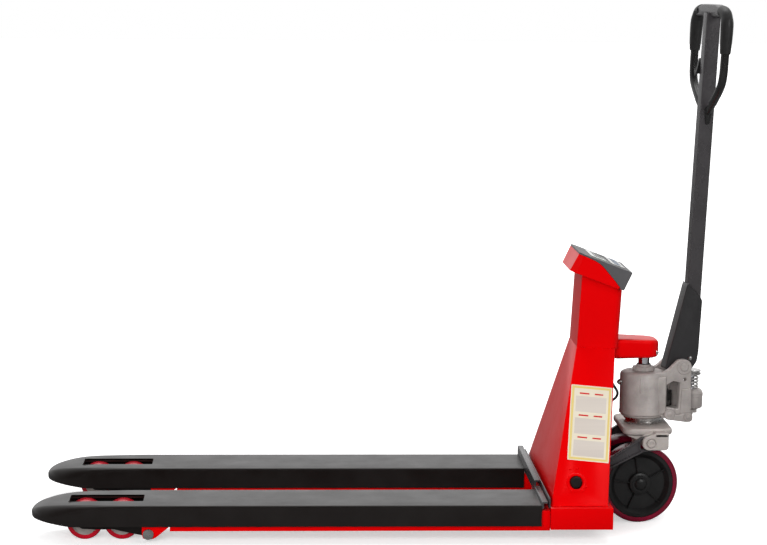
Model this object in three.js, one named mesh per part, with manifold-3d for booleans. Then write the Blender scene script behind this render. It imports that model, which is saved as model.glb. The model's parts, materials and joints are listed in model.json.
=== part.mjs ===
// Hand pallet jack with built-in weigh forks: two fork frames under weigh covers, a leaning mast with
// an indicator head, a steered hydraulic pump unit on two wheels, and a pumping handle with a loop.
// Millimetres, +Z up, +X towards the operator, forks towards -X, +Y to the left of the operator's view.
// While it is built, X = 0 is the steering axis; at the end the whole jack is centred on its footprint.

import * as THREE from 'three';
import { ConvexGeometry } from 'three/addons/geometries/ConvexGeometry.js';
import { mergeVertices } from 'three/addons/utils/BufferGeometryUtils.js';
import Module from 'manifold-3d';

const wasm = await Module();
wasm.setup();

// ---- driving dimensions ----

const GAP = 0.3;                  // air left between neighbouring pieces
const STEER_REST = 9;             // degrees the handle is turned at rest

const FORK = {
  tipX: -1393, heelX: -262, width: 165, spread: 555, topZ: 86, sideZ: 39, wall: 4,
  edgeRadius: 8, noseLength: 150, shoulderLength: 82.5, chinLength: 78, browLength: 38,
  tipTaper: 0.45, tipLowZ: 52, tipHighZ: 66,
};
const FORK_Y = (FORK.spread - FORK.width) / 2;
const ROLLER_SLOT = { frontX: -1308, rearX: -1144, halfWidth: 32.5 };
const HEEL_PLATE = { thickness: 5, topZ: 107 };

const FRAME = { frontX: -1084, rearX: -242.3, halfWidth: 74, topZ: 72, bottomZ: 27, wall: 5 };
const LOAD_CELL = { length: 130, width: 34, frontX: -985, rearX: -385, holeX: 15.6, holeRadius: 8.8 };

const ROLLER = { radius: 40, width: 70, frontX: -1273.7, rearX: -1191.3, bore: 10.3, chamfer: 3 };
const BOGIE_PLATE = { inner: 37, outer: 43 };
const ROLLER_ARM = { inner: 45, outer: 52 };
const FRAME_PIVOT = { x: -1131.3, z: 21, radius: 9 };
const BOGIE_PIVOT = { x: (ROLLER.frontX + ROLLER.rearX) / 2, z: 48, radius: 7 };
const ROD_PIN = { frontX: -1110.7, frontZ: 49.3, rearX: -160.3, rearZ: 60, radius: 6 };
const PUSH_ROD = { halfWidth: 12, halfHeight: 6, eyeWall: 5 };

const BASE = {
  frontX: -241.7, rearX: -102.7, bottomZ: 30.5, topZ: 78.4, innerY: 122, halfWidth: 277, wall: 6,
};
const TOWER = {
  frontX: -240, rearX: -112, halfWidth: 258, topFrontX: -165.5, topRearX: -77,
  topHalfWidth: 70, topFrontZ: 408, topRearZ: 403.1, wall: 5,
};
const COLUMN = { lean: 3.15, depth: 96, width: 140, wall: 4, corner: 9, footX: -187.9, footZ: 409 };
const HEAD = {
  halfWidth: 90, frontX: -155.2, frontZ: 623.8, tilt: 20.5, depth: 47, brow: 8, length: 121.3,
  corner: 15,
};

const ARM = {
  rearX: -67, footX: -76.3, noseX: 31, topZ: 421.5, stepZ: 402.4, bottomZ: 375.5,
  halfWidth: 40, noseRadius: 30,
};
const RAM = { radius: 13, bottomZ: 250 };

const PUMP = { radius: 55, bottomZ: 236, topZ: 342, cheekOuter: 46, cheekInner: 31, bore: 13.4 };
const GLAND = { radius: 25, ringHeight: 9, neckRadius: 18.5, height: 15 };
const HANDLE_PIVOT = { x: 83, z: 354, radius: 10 };
const PLUNGER = { x: 115, radius: 9, cylinderRadius: 28, cylinderTop: 296, bottomZ: 240 };
const PLUNGER_CAP = { bottomZ: 329, topZ: 341, radius: 23 };
const PRESS_ROLLER = { x: 106, z: 353, radius: 9, pinRadius: 4 };
const SPRING = { bottomZ: 297, topZ: 328.5, radius: 19, wire: 1.9, turns: 3.5 };

const WHEEL = {
  radius: 90, width: 50, outerFace: 77, rimRadius: 78, webRadius: 66, bossRadius: 24, dish: 12,
  axleX: -26, axleRadius: 10,
};
const POST = { radius: 24, shoeHalfWidth: 22, shoeTopZ: 150 };
const YOKE = {
  topZ: 222, bottomZ: 207, halfLength: 57, halfWidth: 100, pinX: 1.4, pinZ: 195, pinRadius: 10,
};
const YOKE_EAR = { thickness: 7, outerThickness: 12, rearX: 40 };
const BEARING = { innerRadius: 26.5, outerRadius: 44 };
const SHAFT = { x: -181, z: 127, radius: 13, halfLength: 233 };
const ROCKER = { innerY: 107, outerY: 121, slideX: 12, slideZ: 5.2 };

const TUBE = { depth: 33.6, width: 28, bottomX: 108.2, bottomZ: 400, topX: 145, topZ: 1166, wall: 3 };
const BRACKET = { halfWidth: 19, wall: 5 };
const LOOP = { halfWidth: 105, topZ: 1186, barRadius: 9.5, gripRadius: 15.5, joinZ: 945, bendZ: 1008 };
const TRIGGER = { topZ: 1062, peakZ: 1029, bottomZ: 1026, reach: 6.8, depth: 12, innerY: 14.5, outerY: 24 };
const CABLE_RADIUS = 3;

// ---- colours ----

const PAINT = { red: 0xd80812, black: 0x17181a, graphite: 0x2c2b2d, castGrey: 0xb4aca6 };
const FINISH = {
  redPaint: { color: PAINT.red, roughness: 0.35, metalness: 0.1 },
  blackPaint: { color: PAINT.black, roughness: 0.45, metalness: 0.2 },
  graphite: { color: PAINT.graphite, roughness: 0.55, metalness: 0.3 },
  casting: { color: PAINT.castGrey, roughness: 0.6, metalness: 0.5 },
  steel: { color: 0xc9c9c8, roughness: 0.3, metalness: 0.9 },
  chrome: { color: 0xe0e0e2, roughness: 0.1, metalness: 1 },
  rubber: { color: 0x131314, roughness: 0.75, metalness: 0 },
  tread: { color: 0x86101f, roughness: 0.4, metalness: 0 },
  bezel: { color: 0x5f6063, roughness: 0.5, metalness: 0 },
  display: { color: 0x9fae9a, roughness: 0.2, metalness: 0 },
  overlay: { color: 0xd8d8d6, roughness: 0.4, metalness: 0 },
};

// ---- geometry helpers ----

const CORNER_STEPS = 2;            // straight pieces in a rounded corner
const radians = THREE.MathUtils.degToRad;

function toManifold(geometry) {
  const bare = geometry.clone();
  bare.deleteAttribute('normal');
  bare.deleteAttribute('uv');
  const merged = mergeVertices(bare, 1e-4);
  return new wasm.Manifold(new wasm.Mesh({
    numProp: 3,
    vertProperties: new Float32Array(merged.attributes.position.array),
    triVerts: new Uint32Array(merged.index.array),
  }));
}

function fromManifold(body) {
  const mesh = body.getMesh();
  const geometry = new THREE.BufferGeometry();
  geometry.setAttribute('position', new THREE.BufferAttribute(new Float32Array(mesh.vertProperties), 3));
  geometry.setIndex(new THREE.BufferAttribute(new Uint32Array(mesh.triVerts), 1));
  return geometry;
}

function combine(method, first, others) {
  const body = others.reduce((sum, piece) => sum[method](toManifold(piece)), toManifold(first));
  return fromManifold(body);
}

const join = (first, ...others) => combine('add', first, others);
const cut = (first, ...others) => combine('subtract', first, others);
const meet = (first, ...others) => combine('intersect', first, others);

// A closed outline from [x, y, cornerRadius] points; corners with a radius are rounded, as far as
// the two sides that meet there are long enough.
function outline(points) {
  const shape = new THREE.Shape();
  points.forEach(([x, y, wanted = 0], index) => {
    const corner = new THREE.Vector2(x, y);
    const sides = [points.at(index - 1), points[(index + 1) % points.length]]
      .map((other) => new THREE.Vector2(other[0], other[1]).sub(corner));
    const radius = Math.min(wanted, ...sides.map((side) => 0.48 * side.length()));
    const [start, end] = sides.map((side) => corner.clone().add(side.setLength(radius)));
    if (index === 0) shape.moveTo(start.x, start.y);
    else shape.lineTo(start.x, start.y);
    if (radius > 0) shape.quadraticCurveTo(x, y, end.x, end.y);
  });
  shape.closePath();
  return shape;
}

function circleAt(x, y, radius) {
  return new THREE.Shape().absarc(x, y, radius, 0, 2 * Math.PI);
}

// A round hole as a polygon drawn around its circle, so that a pin of that radius clears its flats.
function roundHole(x, y, radius, sides = 12) {
  const reach = radius / Math.cos(Math.PI / sides);
  return new THREE.Path(Array.from({ length: sides }, (_, i) => {
    const angle = (2 * Math.PI * (i + 0.5)) / sides;
    return new THREE.Vector2(x + reach * Math.cos(angle), y + reach * Math.sin(angle));
  }));
}

function withHoles(shape, ...holes) {
  shape.holes.push(...holes);
  return shape;
}

function extrude(shape, depth, curveSegments) {
  return new THREE.ExtrudeGeometry(shape, { depth, curveSegments, bevelEnabled: false });
}

// A side profile drawn in X and Z, given a thickness in Y.
function sideProfile(shape, fromY, toY, curveSegments = CORNER_STEPS) {
  return extrude(shape, toY - fromY, curveSegments).rotateX(Math.PI / 2).translate(0, toY, 0);
}

// A plan drawn in X and Y, given a height in Z.
function plan(shape, fromZ, toZ, curveSegments = CORNER_STEPS) {
  return extrude(shape, toZ - fromZ, curveSegments).translate(0, 0, fromZ);
}

// A cross-section drawn in Y and Z, run along X.
function crossSection(shape, fromX, toX, curveSegments = CORNER_STEPS) {
  const turn = new THREE.Matrix4().makeBasis(
    new THREE.Vector3(0, 1, 0), new THREE.Vector3(0, 0, 1), new THREE.Vector3(1, 0, 0));
  return extrude(shape, toX - fromX, curveSegments).applyMatrix4(turn).translate(fromX, 0, 0);
}

function block(fromX, toX, fromY, toY, fromZ, toZ) {
  return new THREE.BoxGeometry(toX - fromX, toY - fromY, toZ - fromZ)
    .translate((fromX + toX) / 2, (fromY + toY) / 2, (fromZ + toZ) / 2);
}

// A round bar along Y at (x, z).
function crossBar(x, z, radius, fromY, toY, segments = 16) {
  return new THREE.CylinderGeometry(radius, radius, toY - fromY, segments)
    .translate(x, (fromY + toY) / 2, z);
}

// A round bar along Z at (x, y).
function upright(x, y, radius, fromZ, toZ, segments = 24) {
  return new THREE.CylinderGeometry(radius, radius, toZ - fromZ, segments)
    .rotateX(Math.PI / 2).translate(x, y, (fromZ + toZ) / 2);
}

function lathe(profile, segments = 40) {
  const points = profile.map(([radius, along]) => new THREE.Vector2(radius, along));
  return new THREE.LatheGeometry(points, segments);
}

function tubeAlong(curve, radius, sides, steps, boreRadius = 0) {
  const section = circleAt(0, 0, radius);
  if (boreRadius > 0) withHoles(section, circleAt(0, 0, boreRadius));
  const curveSegments = Math.ceil(sides / 2);
  return new THREE.ExtrudeGeometry(section, { steps, extrudePath: curve, curveSegments });
}

const jack = new THREE.Group();
const steered = new THREE.Group();
steered.rotation.z = radians(STEER_REST);
jack.add(steered);

function addPiece(name, geometry, finish, parent = jack) {
  const mesh = new THREE.Mesh(geometry, new THREE.MeshStandardMaterial(finish));
  mesh.name = name;
  parent.add(mesh);
  return mesh;
}

const SIDES = [['left', 1], ['right', -1]];

// A stretch of Y between two distances from the middle plane, on the side given by +1 or -1.
const outward = (side, near, far) => (side > 0 ? [near, far] : [-far, -near]);

// ---- weigh forks ----

function forkPlan(inset) {
  const half = FORK.width / 2 - inset;
  const tip = FORK.tipX + inset;
  const tipHalf = half * FORK.tipTaper;
  const shoulder = tip + FORK.shoulderLength;
  return outline([
    [tip, -tipHalf, 30], [shoulder, -half, 60], [FORK.heelX, -half],
    [FORK.heelX, half], [shoulder, half, 60], [tip, tipHalf, 30],
  ]);
}

function forkSide(inset, belowZ) {
  const tip = FORK.tipX + inset;
  const top = FORK.topZ - inset;
  return outline([
    [tip, FORK.tipLowZ + inset, 6], [tip + FORK.chinLength, belowZ], [FORK.heelX, belowZ],
    [FORK.heelX, top], [tip + FORK.noseLength, top, 60], [tip + FORK.browLength, top - 3, 22],
    [tip, FORK.tipHighZ - inset, 8],
  ]);
}

function forkSection(inset, belowZ) {
  const half = FORK.width / 2 - inset;
  const radius = FORK.edgeRadius - inset / 2;
  const top = FORK.topZ - inset;
  return outline([[-half, belowZ], [half, belowZ], [half, top, radius], [-half, top, radius]]);
}

function forkForm(inset, belowZ) {
  const { tipX, heelX, topZ } = FORK;
  const body = crossSection(forkSection(inset, belowZ), tipX, heelX + inset, 4);
  const plate = plan(forkPlan(inset), belowZ, topZ, 5);
  return meet(body, plate, sideProfile(forkSide(inset, belowZ), -FORK.width / 2, FORK.width / 2, 5));
}

function forkCover() {
  const hollowBelow = FORK.sideZ - 10;
  const innerHalf = FORK.width / 2 - FORK.wall;
  const slot = block(ROLLER_SLOT.frontX, ROLLER_SLOT.rearX, -ROLLER_SLOT.halfWidth,
    ROLLER_SLOT.halfWidth, FORK.topZ - 36, FORK.topZ + 14);
  const openHeel = block(FORK.heelX - 8, FORK.heelX + 8, -innerHalf, innerHalf,
    hollowBelow, FORK.topZ - FORK.wall);
  return cut(forkForm(0, FORK.sideZ), forkForm(FORK.wall, hollowBelow), slot, openHeel);
}

function forkFrame() {
  const { frontX, rearX, halfWidth, topZ, bottomZ, wall } = FRAME;
  const channel = outline([
    [-halfWidth, bottomZ], [-halfWidth + wall, bottomZ], [-halfWidth + wall, topZ - wall],
    [halfWidth - wall, topZ - wall], [halfWidth - wall, bottomZ], [halfWidth, bottomZ],
    [halfWidth, topZ], [-halfWidth, topZ],
  ]);
  const lug = outline([
    [FRAME_PIVOT.x - 14, FRAME_PIVOT.z - 12, 10], [FRAME_PIVOT.x + 12, FRAME_PIVOT.z - 12, 8],
    [frontX + 6, FRAME.bottomZ + 16], [frontX + 6, topZ], [FRAME_PIVOT.x - 14, topZ],
  ]);
  withHoles(lug, roundHole(FRAME_PIVOT.x, FRAME_PIVOT.z, FRAME_PIVOT.radius + GAP));
  const lugs = [-1, 1].map((side) => sideProfile(lug,
    side * (halfWidth - wall / 2) - wall / 2, side * (halfWidth - wall / 2) + wall / 2));
  return join(crossSection(channel, frontX, rearX), ...lugs);
}

function loadCell() {
  const { length, width, holeX, holeRadius } = LOAD_CELL;
  const bottom = FRAME.topZ + GAP;
  const top = FORK.topZ - FORK.wall - GAP;
  const beam = outline([
    [-length / 2, -width / 2], [length / 2, -width / 2], [length / 2, width / 2], [-length / 2, width / 2],
  ]);
  withHoles(beam, roundHole(-holeX, 0, holeRadius), roundHole(holeX, 0, holeRadius));
  return plan(beam, bottom, top);
}

function heelPlate() {
  const frontX = FORK.heelX + GAP;
  return block(frontX, frontX + HEEL_PLATE.thickness, -FORK.spread / 2, FORK.spread / 2,
    BASE.topZ + GAP, HEEL_PLATE.topZ);
}

for (const [name, side] of SIDES) {
  const y = side * FORK_Y;
  addPiece(`fork_cover_${name}`, forkCover(), FINISH.blackPaint).position.y = y;
  addPiece(`fork_frame_${name}`, forkFrame(), FINISH.redPaint).position.y = y;
  addPiece(`load_cell_${name}_front`, loadCell(), FINISH.steel).position.set(LOAD_CELL.frontX, y, 0);
  addPiece(`load_cell_${name}_rear`, loadCell(), FINISH.steel).position.set(LOAD_CELL.rearX, y, 0);
}
addPiece('heel_plate', heelPlate(), FINISH.blackPaint);

// ---- load rollers, bogies and roller frames ----

function loadRoller() {
  const { radius, bore, chamfer, width } = ROLLER;
  const half = width / 2;
  return lathe([
    [bore, -half], [radius - chamfer, -half], [radius, -half + chamfer],
    [radius, half - chamfer], [radius - chamfer, half], [bore, half], [bore, -half],
  ], 24);
}

function bogie() {
  const { inner, outer } = BOGIE_PLATE;
  const plateShape = outline([
    [ROLLER.frontX - 15, ROLLER.radius - 14, 12], [BOGIE_PIVOT.x, ROLLER.radius - 16, 20],
    [ROLLER.rearX + 15, ROLLER.radius - 14, 12], [ROLLER.rearX + 15, ROLLER.radius + 14, 12],
    [BOGIE_PIVOT.x, BOGIE_PIVOT.z + 14, 16], [ROLLER.frontX - 15, ROLLER.radius + 14, 12],
  ]);
  withHoles(plateShape, roundHole(BOGIE_PIVOT.x, BOGIE_PIVOT.z, BOGIE_PIVOT.radius + GAP));
  const plates = [-1, 1].map((side) => sideProfile(plateShape, ...outward(side, inner, outer)));
  const axles = [ROLLER.frontX, ROLLER.rearX].map((x) =>
    crossBar(x, ROLLER.radius, ROLLER.bore - GAP, -outer - 1, outer + 1, 12));
  return join(plates[0], plates[1], ...axles);
}

function rollerFrame() {
  const { inner, outer } = ROLLER_ARM;
  const armShape = outline([
    [BOGIE_PIVOT.x - 14, BOGIE_PIVOT.z - 13, 12], [FRAME_PIVOT.x - 26, FRAME_PIVOT.z - 6, 20],
    [FRAME_PIVOT.x + 13, FRAME_PIVOT.z - 13, 12], [ROD_PIN.frontX + 9, ROD_PIN.frontZ + 8, 8],
    [ROD_PIN.frontX - 14, ROD_PIN.frontZ + 8, 8], [BOGIE_PIVOT.x + 20, BOGIE_PIVOT.z + 13, 12],
    [BOGIE_PIVOT.x - 14, BOGIE_PIVOT.z + 13, 12],
  ]);
  const arms = [-1, 1].map((side) => sideProfile(armShape, ...outward(side, inner, outer)));
  const bogieStubs = [-1, 1].map((side) => crossBar(BOGIE_PIVOT.x, BOGIE_PIVOT.z, BOGIE_PIVOT.radius,
    ...outward(side, BOGIE_PLATE.inner - 0.5, inner + 1), 12));
  const pivot = crossBar(FRAME_PIVOT.x, FRAME_PIVOT.z, FRAME_PIVOT.radius,
    -FRAME.halfWidth - 2, FRAME.halfWidth + 2, 12);
  const headFrom = FRAME.halfWidth + GAP;
  const heads = [-1, 1].map((side) => crossBar(FRAME_PIVOT.x, FRAME_PIVOT.z, FRAME_PIVOT.radius + 3,
    ...outward(side, headFrom, headFrom + 5), 16));
  const rodPin = crossBar(ROD_PIN.frontX, ROD_PIN.frontZ, ROD_PIN.radius, -inner - 1, inner + 1, 12);
  return join(arms[0], arms[1], ...bogieStubs, pivot, ...heads, rodPin);
}

// An upright slot for the rod's pin, and the eye around it.
function rodEye(x, z, halfSlot) {
  const rounded = (halfWidth, halfHeight, corner) => outline([
    [x - halfWidth, z - halfHeight, corner], [x + halfWidth, z - halfHeight, corner],
    [x + halfWidth, z + halfHeight, corner], [x - halfWidth, z + halfHeight, corner],
  ]);
  const hole = ROD_PIN.radius + 1;
  const reach = hole + PUSH_ROD.eyeWall;
  return { eye: rounded(reach, reach + halfSlot - 3, 7), slot: rounded(hole, hole + halfSlot, 5) };
}

function pushRod() {
  const { halfWidth, halfHeight } = PUSH_ROD;
  const front = { x: ROD_PIN.frontX, z: ROD_PIN.frontZ + 3 };
  const rear = { x: ROD_PIN.rearX, z: ROD_PIN.rearZ - 2 };
  const bar = sideProfile(outline([
    [front.x + 8, front.z - halfHeight], [rear.x - 8, rear.z - halfHeight],
    [rear.x - 8, rear.z + halfHeight], [front.x + 8, front.z + halfHeight],
  ]), -halfWidth, halfWidth);
  const ends = [[front, 4], [rear, 3]].map(([end, halfSlot]) => rodEye(end.x, end.z, halfSlot));
  const eyes = ends.map(({ eye }) => sideProfile(eye, -halfWidth, halfWidth));
  const slots = ends.map(({ slot }) => sideProfile(slot, -halfWidth - 1, halfWidth + 1));
  return cut(join(bar, ...eyes), ...slots);
}

for (const [name, side] of SIDES) {
  const y = side * FORK_Y;
  for (const [place, x] of [['front', ROLLER.frontX], ['rear', ROLLER.rearX]]) {
    addPiece(`load_roller_${name}_${place}`, loadRoller(), FINISH.tread)
      .position.set(x, y, ROLLER.radius);
  }
  addPiece(`roller_bogie_${name}`, bogie(), FINISH.graphite).position.y = y;
  addPiece(`roller_frame_${name}`, rollerFrame(), FINISH.graphite).position.y = y;
  addPiece(`push_rod_${name}`, pushRod(), FINISH.redPaint).position.y = y;
}

// ---- base, tower, column and piston arm ----

function baseFrame() {
  const { frontX, rearX, bottomZ, topZ, innerY, halfWidth, wall } = BASE;
  const wings = [-1, 1].map((side) => {
    const [fromY, toY] = outward(side, innerY, halfWidth);
    const shell = block(frontX, rearX, fromY, toY, bottomZ, topZ);
    const room = block(frontX + wall, rearX - wall, fromY + wall, toY - wall, bottomZ - 5, topZ - wall);
    const leverY = outward(side, FORK_Y - 20, FORK_Y + 20);
    const rodY = outward(side, FORK_Y - 18, FORK_Y + 18);
    const leverWell = block(SHAFT.x - 40, SHAFT.x + 42, ...leverY, topZ - 28, topZ + 22);
    const rodDoor = block(frontX - 5, frontX + wall + 5, ...rodY, 44, topZ - 7.4);
    return cut(shell, room, leverWell, rodDoor);
  });
  const crossWall = block(frontX, frontX + wall, -innerY - 1, innerY + 1, bottomZ, topZ);
  return join(wings[0], wings[1], crossWall);
}

// The tower's solid wedge. Hollowing uses it again, shrunk by an inset and run out past its own rear
// and bottom by an overrun.
function towerWedge(inset, overrun) {
  const { frontX, rearX, halfWidth, topFrontX, topRearX, topHalfWidth, topFrontZ, topRearZ } = TOWER;
  const corners = [[frontX, topFrontX, topFrontZ, inset], [rearX, topRearX, topRearZ, overrun]];
  const sideInset = inset * Math.hypot(1, (halfWidth - topHalfWidth) / (topFrontZ - BASE.topZ));
  return new ConvexGeometry(corners.flatMap(([footX, headX, headZ, forward]) => {
    const foot = { x: footX, y: halfWidth, z: BASE.topZ + GAP };
    const crown = { x: headX, y: topHalfWidth, z: headZ };
    return [foot.z - overrun, crown.z - inset].flatMap((z) => {
      const part = (z - foot.z) / (crown.z - foot.z);
      const x = THREE.MathUtils.lerp(foot.x, crown.x, part) + forward;
      const y = THREE.MathUtils.lerp(foot.y, crown.y, part) - sideInset;
      return [new THREE.Vector3(x, -y, z), new THREE.Vector3(x, y, z)];
    });
  }));
}

function towerShell() {
  const shaftHoles = crossBar(SHAFT.x, SHAFT.z, SHAFT.radius + 1, -TOWER.halfWidth, TOWER.halfWidth);
  return cut(towerWedge(0, 0), towerWedge(TOWER.wall, 12), shaftHoles);
}

// The head's own frame runs down its slope, and the mast's frame runs up its lean.
const leaning = (degrees, x, z) => new THREE.Matrix4().makeRotationY(radians(degrees)).setPosition(x, 0, z);
const headMatrix = leaning(HEAD.tilt, HEAD.frontX, HEAD.frontZ);
const mastMatrix = leaning(COLUMN.lean, COLUMN.footX, 0);

function column() {
  const { depth, width, wall, corner, footZ } = COLUMN;
  const ring = (inset) => outline([
    [inset, -width / 2 + inset, corner], [depth - inset, -width / 2 + inset, corner],
    [depth - inset, width / 2 - inset, corner], [inset, width / 2 - inset, corner],
  ]);
  const tube = plan(withHoles(ring(0), ring(wall)), footZ, HEAD.frontZ, 3).applyMatrix4(mastMatrix);
  const aboveHead = block(-60, 200, -width, width, -HEAD.depth - GAP, 100).applyMatrix4(headMatrix);
  return cut(tube, aboveHead);
}

// The arm's back face stands against the column above a step, and against the tower below it.
function pistonArm() {
  const { rearX, footX, stepZ, noseX, topZ, bottomZ, halfWidth, noseRadius } = ARM;
  const top = outline([
    [footX, -halfWidth - 6], [noseX, -halfWidth, noseRadius], [noseX, halfWidth, noseRadius],
    [footX, halfWidth + 6],
  ]);
  const side = outline([
    [footX, bottomZ + 2], [noseX, bottomZ - 1, 8], [noseX, topZ - 4, 14], [rearX, topZ + 1],
    [rearX, stepZ], [footX, stepZ],
  ]);
  const body = meet(plan(top, bottomZ - 10, topZ + 10), sideProfile(side, -60, 60, 5));
  return cut(body, upright(0, 0, RAM.radius + GAP, bottomZ - 12, bottomZ + 20));
}

function ram() {
  return upright(0, 0, RAM.radius, RAM.bottomZ, ARM.bottomZ + 19);
}

addPiece('base_frame', baseFrame(), FINISH.redPaint);
addPiece('tower_shell', towerShell(), FINISH.redPaint);
addPiece('column', column(), FINISH.redPaint);
addPiece('piston_arm', pistonArm(), FINISH.redPaint);
addPiece('ram', ram(), FINISH.chrome);

// ---- indicator head: u runs down the slope from the front top edge, v is square to the slope ----

const HEAD_ENDS = {
  topFront: [-HEAD.brow, 0], lowFront: [-HEAD.brow - 4.5, -HEAD.depth], lowRear: [103, -HEAD.depth],
  tipRear: [HEAD.length - 3.3, -HEAD.depth], topRear: [HEAD.length, 0],
};
const SPLIT = [[-HEAD.brow, -4], [0, -4], [30, -5.5], [52, -11], [76, -24], [94, -34], [106, -42]];

function headProfile(above) {
  const shape = new THREE.Shape();
  const offset = above ? GAP / 2 : -GAP / 2;
  const curve = SPLIT.map(([u, v]) => new THREE.Vector2(u, v + offset));
  shape.moveTo(curve[0].x, curve[0].y);
  shape.splineThru(curve.slice(1));
  if (above) {
    shape.lineTo(HEAD_ENDS.tipRear[0] - 12, HEAD_ENDS.tipRear[1] + 3);
    shape.lineTo(...HEAD_ENDS.tipRear);
    shape.lineTo(...HEAD_ENDS.topRear);
    shape.lineTo(...HEAD_ENDS.topFront);
  } else {
    shape.lineTo(...HEAD_ENDS.lowRear);
    shape.lineTo(...HEAD_ENDS.lowFront);
  }
  shape.closePath();
  return shape;
}

// One half of the head, with its two front corners cut off.
function headBody(above) {
  const { halfWidth, corner, length, depth } = HEAD;
  const front = HEAD_ENDS.lowFront[0];
  const cutCorners = outline([
    [front, -halfWidth + corner], [front + corner, -halfWidth], [length + 1, -halfWidth],
    [length + 1, halfWidth], [front + corner, halfWidth], [front, halfWidth - corner],
  ]);
  const body = sideProfile(headProfile(above), -halfWidth, halfWidth, 10);
  return meet(body, plan(cutCorners, -depth - 1, 1));
}

function headShell() {
  const innerHalf = HEAD.halfWidth - 6;
  return cut(headBody(false), block(2, 70, -innerHalf, innerHalf, 8 - HEAD.depth, 30));
}

function bezel() {
  const windowWell = block(22, 66, -62, 62, -1.2, 10);
  return cut(headBody(true), windowWell);
}

const head = new THREE.Group();
head.applyMatrix4(headMatrix);
jack.add(head);
addPiece('head_shell', headShell(), FINISH.redPaint, head);
addPiece('head_bezel', bezel(), FINISH.bezel, head);
addPiece('display_window', block(22.4, 65.6, -61.6, 61.6, -0.9, 1.2), FINISH.display, head);
addPiece('keypad', block(72, 106, -62, 62, GAP, 1.5), FINISH.overlay, head);

// ---- cable from the forks to the indicator, clipped inside the tower ----

function sensorCable() {
  const route = [
    [-232, -70, 60], [-222, -70, 66], [-212, -69, 90], [-207, -66, 127], [-200, -62, 165],
    [-178, -56, 215], [-146, -51, 250], [-114, -47, 269], [-88, -45, 275], [-71, -44, 284],
    [-66, -44, 297], [-74, -45, 312], [-86, -44, 330], [-96, -43, 350], [-110, -42, 368],
    [-124, -40, 382], [-128, -38, 396],
  ];
  const curve = new THREE.CatmullRomCurve3(route.map((point) => new THREE.Vector3(...point)));
  return tubeAlong(curve, CABLE_RADIUS, 8, 34);
}

addPiece('sensor_cable', sensorCable(), FINISH.rubber);

// ---- thrust yoke with its pins, and the rocker that hangs on them ----

function thrustYoke() {
  const { topZ, bottomZ, halfLength, halfWidth, pinX, pinZ, pinRadius } = YOKE;
  const plate = plan(withHoles(outline([
    [-halfLength, -halfWidth, 26], [halfLength, -halfWidth, 26],
    [halfLength, halfWidth, 26], [-halfLength, halfWidth, 26],
  ]), roundHole(0, 0, 26, 24)), bottomZ, topZ);
  const { rearX, thickness, outerThickness } = YOKE_EAR;
  const earShape = outline([
    [pinX - 19.5, pinZ - 15, 14], [rearX, pinZ - 15, 10], [rearX, topZ - 2], [pinX + 10, topZ - 2, 6],
    [pinX - 19.5, pinZ + 13, 14],
  ]);
  withHoles(earShape, roundHole(pinX, pinZ, pinRadius + GAP));
  const innerEar = [ROCKER.innerY - 1 - thickness, ROCKER.innerY - 1];
  const outerEar = [ROCKER.outerY + 1, ROCKER.outerY + 1 + outerThickness];
  const pieces = [-1, 1].flatMap((side) => {
    const ears = [innerEar, outerEar].map((ear) => sideProfile(earShape, ...outward(side, ...ear)));
    const bridgeY = outward(side, halfWidth - 12, outerEar[1]);
    return [...ears, block(pinX + 4, rearX, ...bridgeY, topZ - 9, topZ - 2)];
  });
  return join(plate, ...pieces);
}

// The arm's eye is a slot that runs forward and down from the pin, by as far as the pin slides in it.
function rockerArm() {
  const reach = 17;
  const arm = outline([
    [SHAFT.x - 24, SHAFT.z - 20, 18], [SHAFT.x + 20, SHAFT.z - 21, 16], [-92, 133, 30],
    [YOKE.pinX - 14, YOKE.pinZ - 21, 12], [YOKE.pinX + reach, YOKE.pinZ - 19, 13],
    [YOKE.pinX + reach, YOKE.pinZ + 15.5, 9], [YOKE.pinX - 4, YOKE.pinZ + 14.3],
    [-20, YOKE.pinZ + 10.5, 10], [-86, 162, 30],
    [SHAFT.x + 20, SHAFT.z + 22, 18], [SHAFT.x - 24, SHAFT.z + 20, 18],
  ]);
  const hole = YOKE.pinRadius + 0.8;
  const slotX = YOKE.pinX - ROCKER.slideX - hole;
  const slotZ = YOKE.pinZ - ROCKER.slideZ - hole;
  withHoles(arm, outline([
    [slotX, slotZ, 6], [YOKE.pinX + hole, slotZ, 9], [YOKE.pinX + hole, YOKE.pinZ + hole, 6],
    [YOKE.pinX - 4, YOKE.pinZ + hole, 6], [slotX, YOKE.pinZ + 4.5, 6],
  ]), roundHole(SHAFT.x, SHAFT.z, SHAFT.radius + GAP, 20));
  return sideProfile(arm, ROCKER.innerY, ROCKER.outerY);
}

function torsionShaft() {
  const shaft = crossBar(SHAFT.x, SHAFT.z, SHAFT.radius, -SHAFT.halfLength, SHAFT.halfLength, 20);
  const levers = [-1, 1].flatMap((side) => {
    const lever = outline([
      [ROD_PIN.rearX - 11, ROD_PIN.rearZ - 9, 9], [ROD_PIN.rearX + 9, ROD_PIN.rearZ - 9, 9],
      [SHAFT.x + 20, SHAFT.z + 10, 16], [SHAFT.x - 20, SHAFT.z + 14, 16],
    ]);
    const y = side * FORK_Y;
    const cheeks = [-17, 13].map((from) => sideProfile(lever, y + from, y + from + 4));
    return [...cheeks, crossBar(ROD_PIN.rearX, ROD_PIN.rearZ, ROD_PIN.radius, y - 15, y + 15, 12)];
  });
  return join(shaft, ...levers);
}

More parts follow.
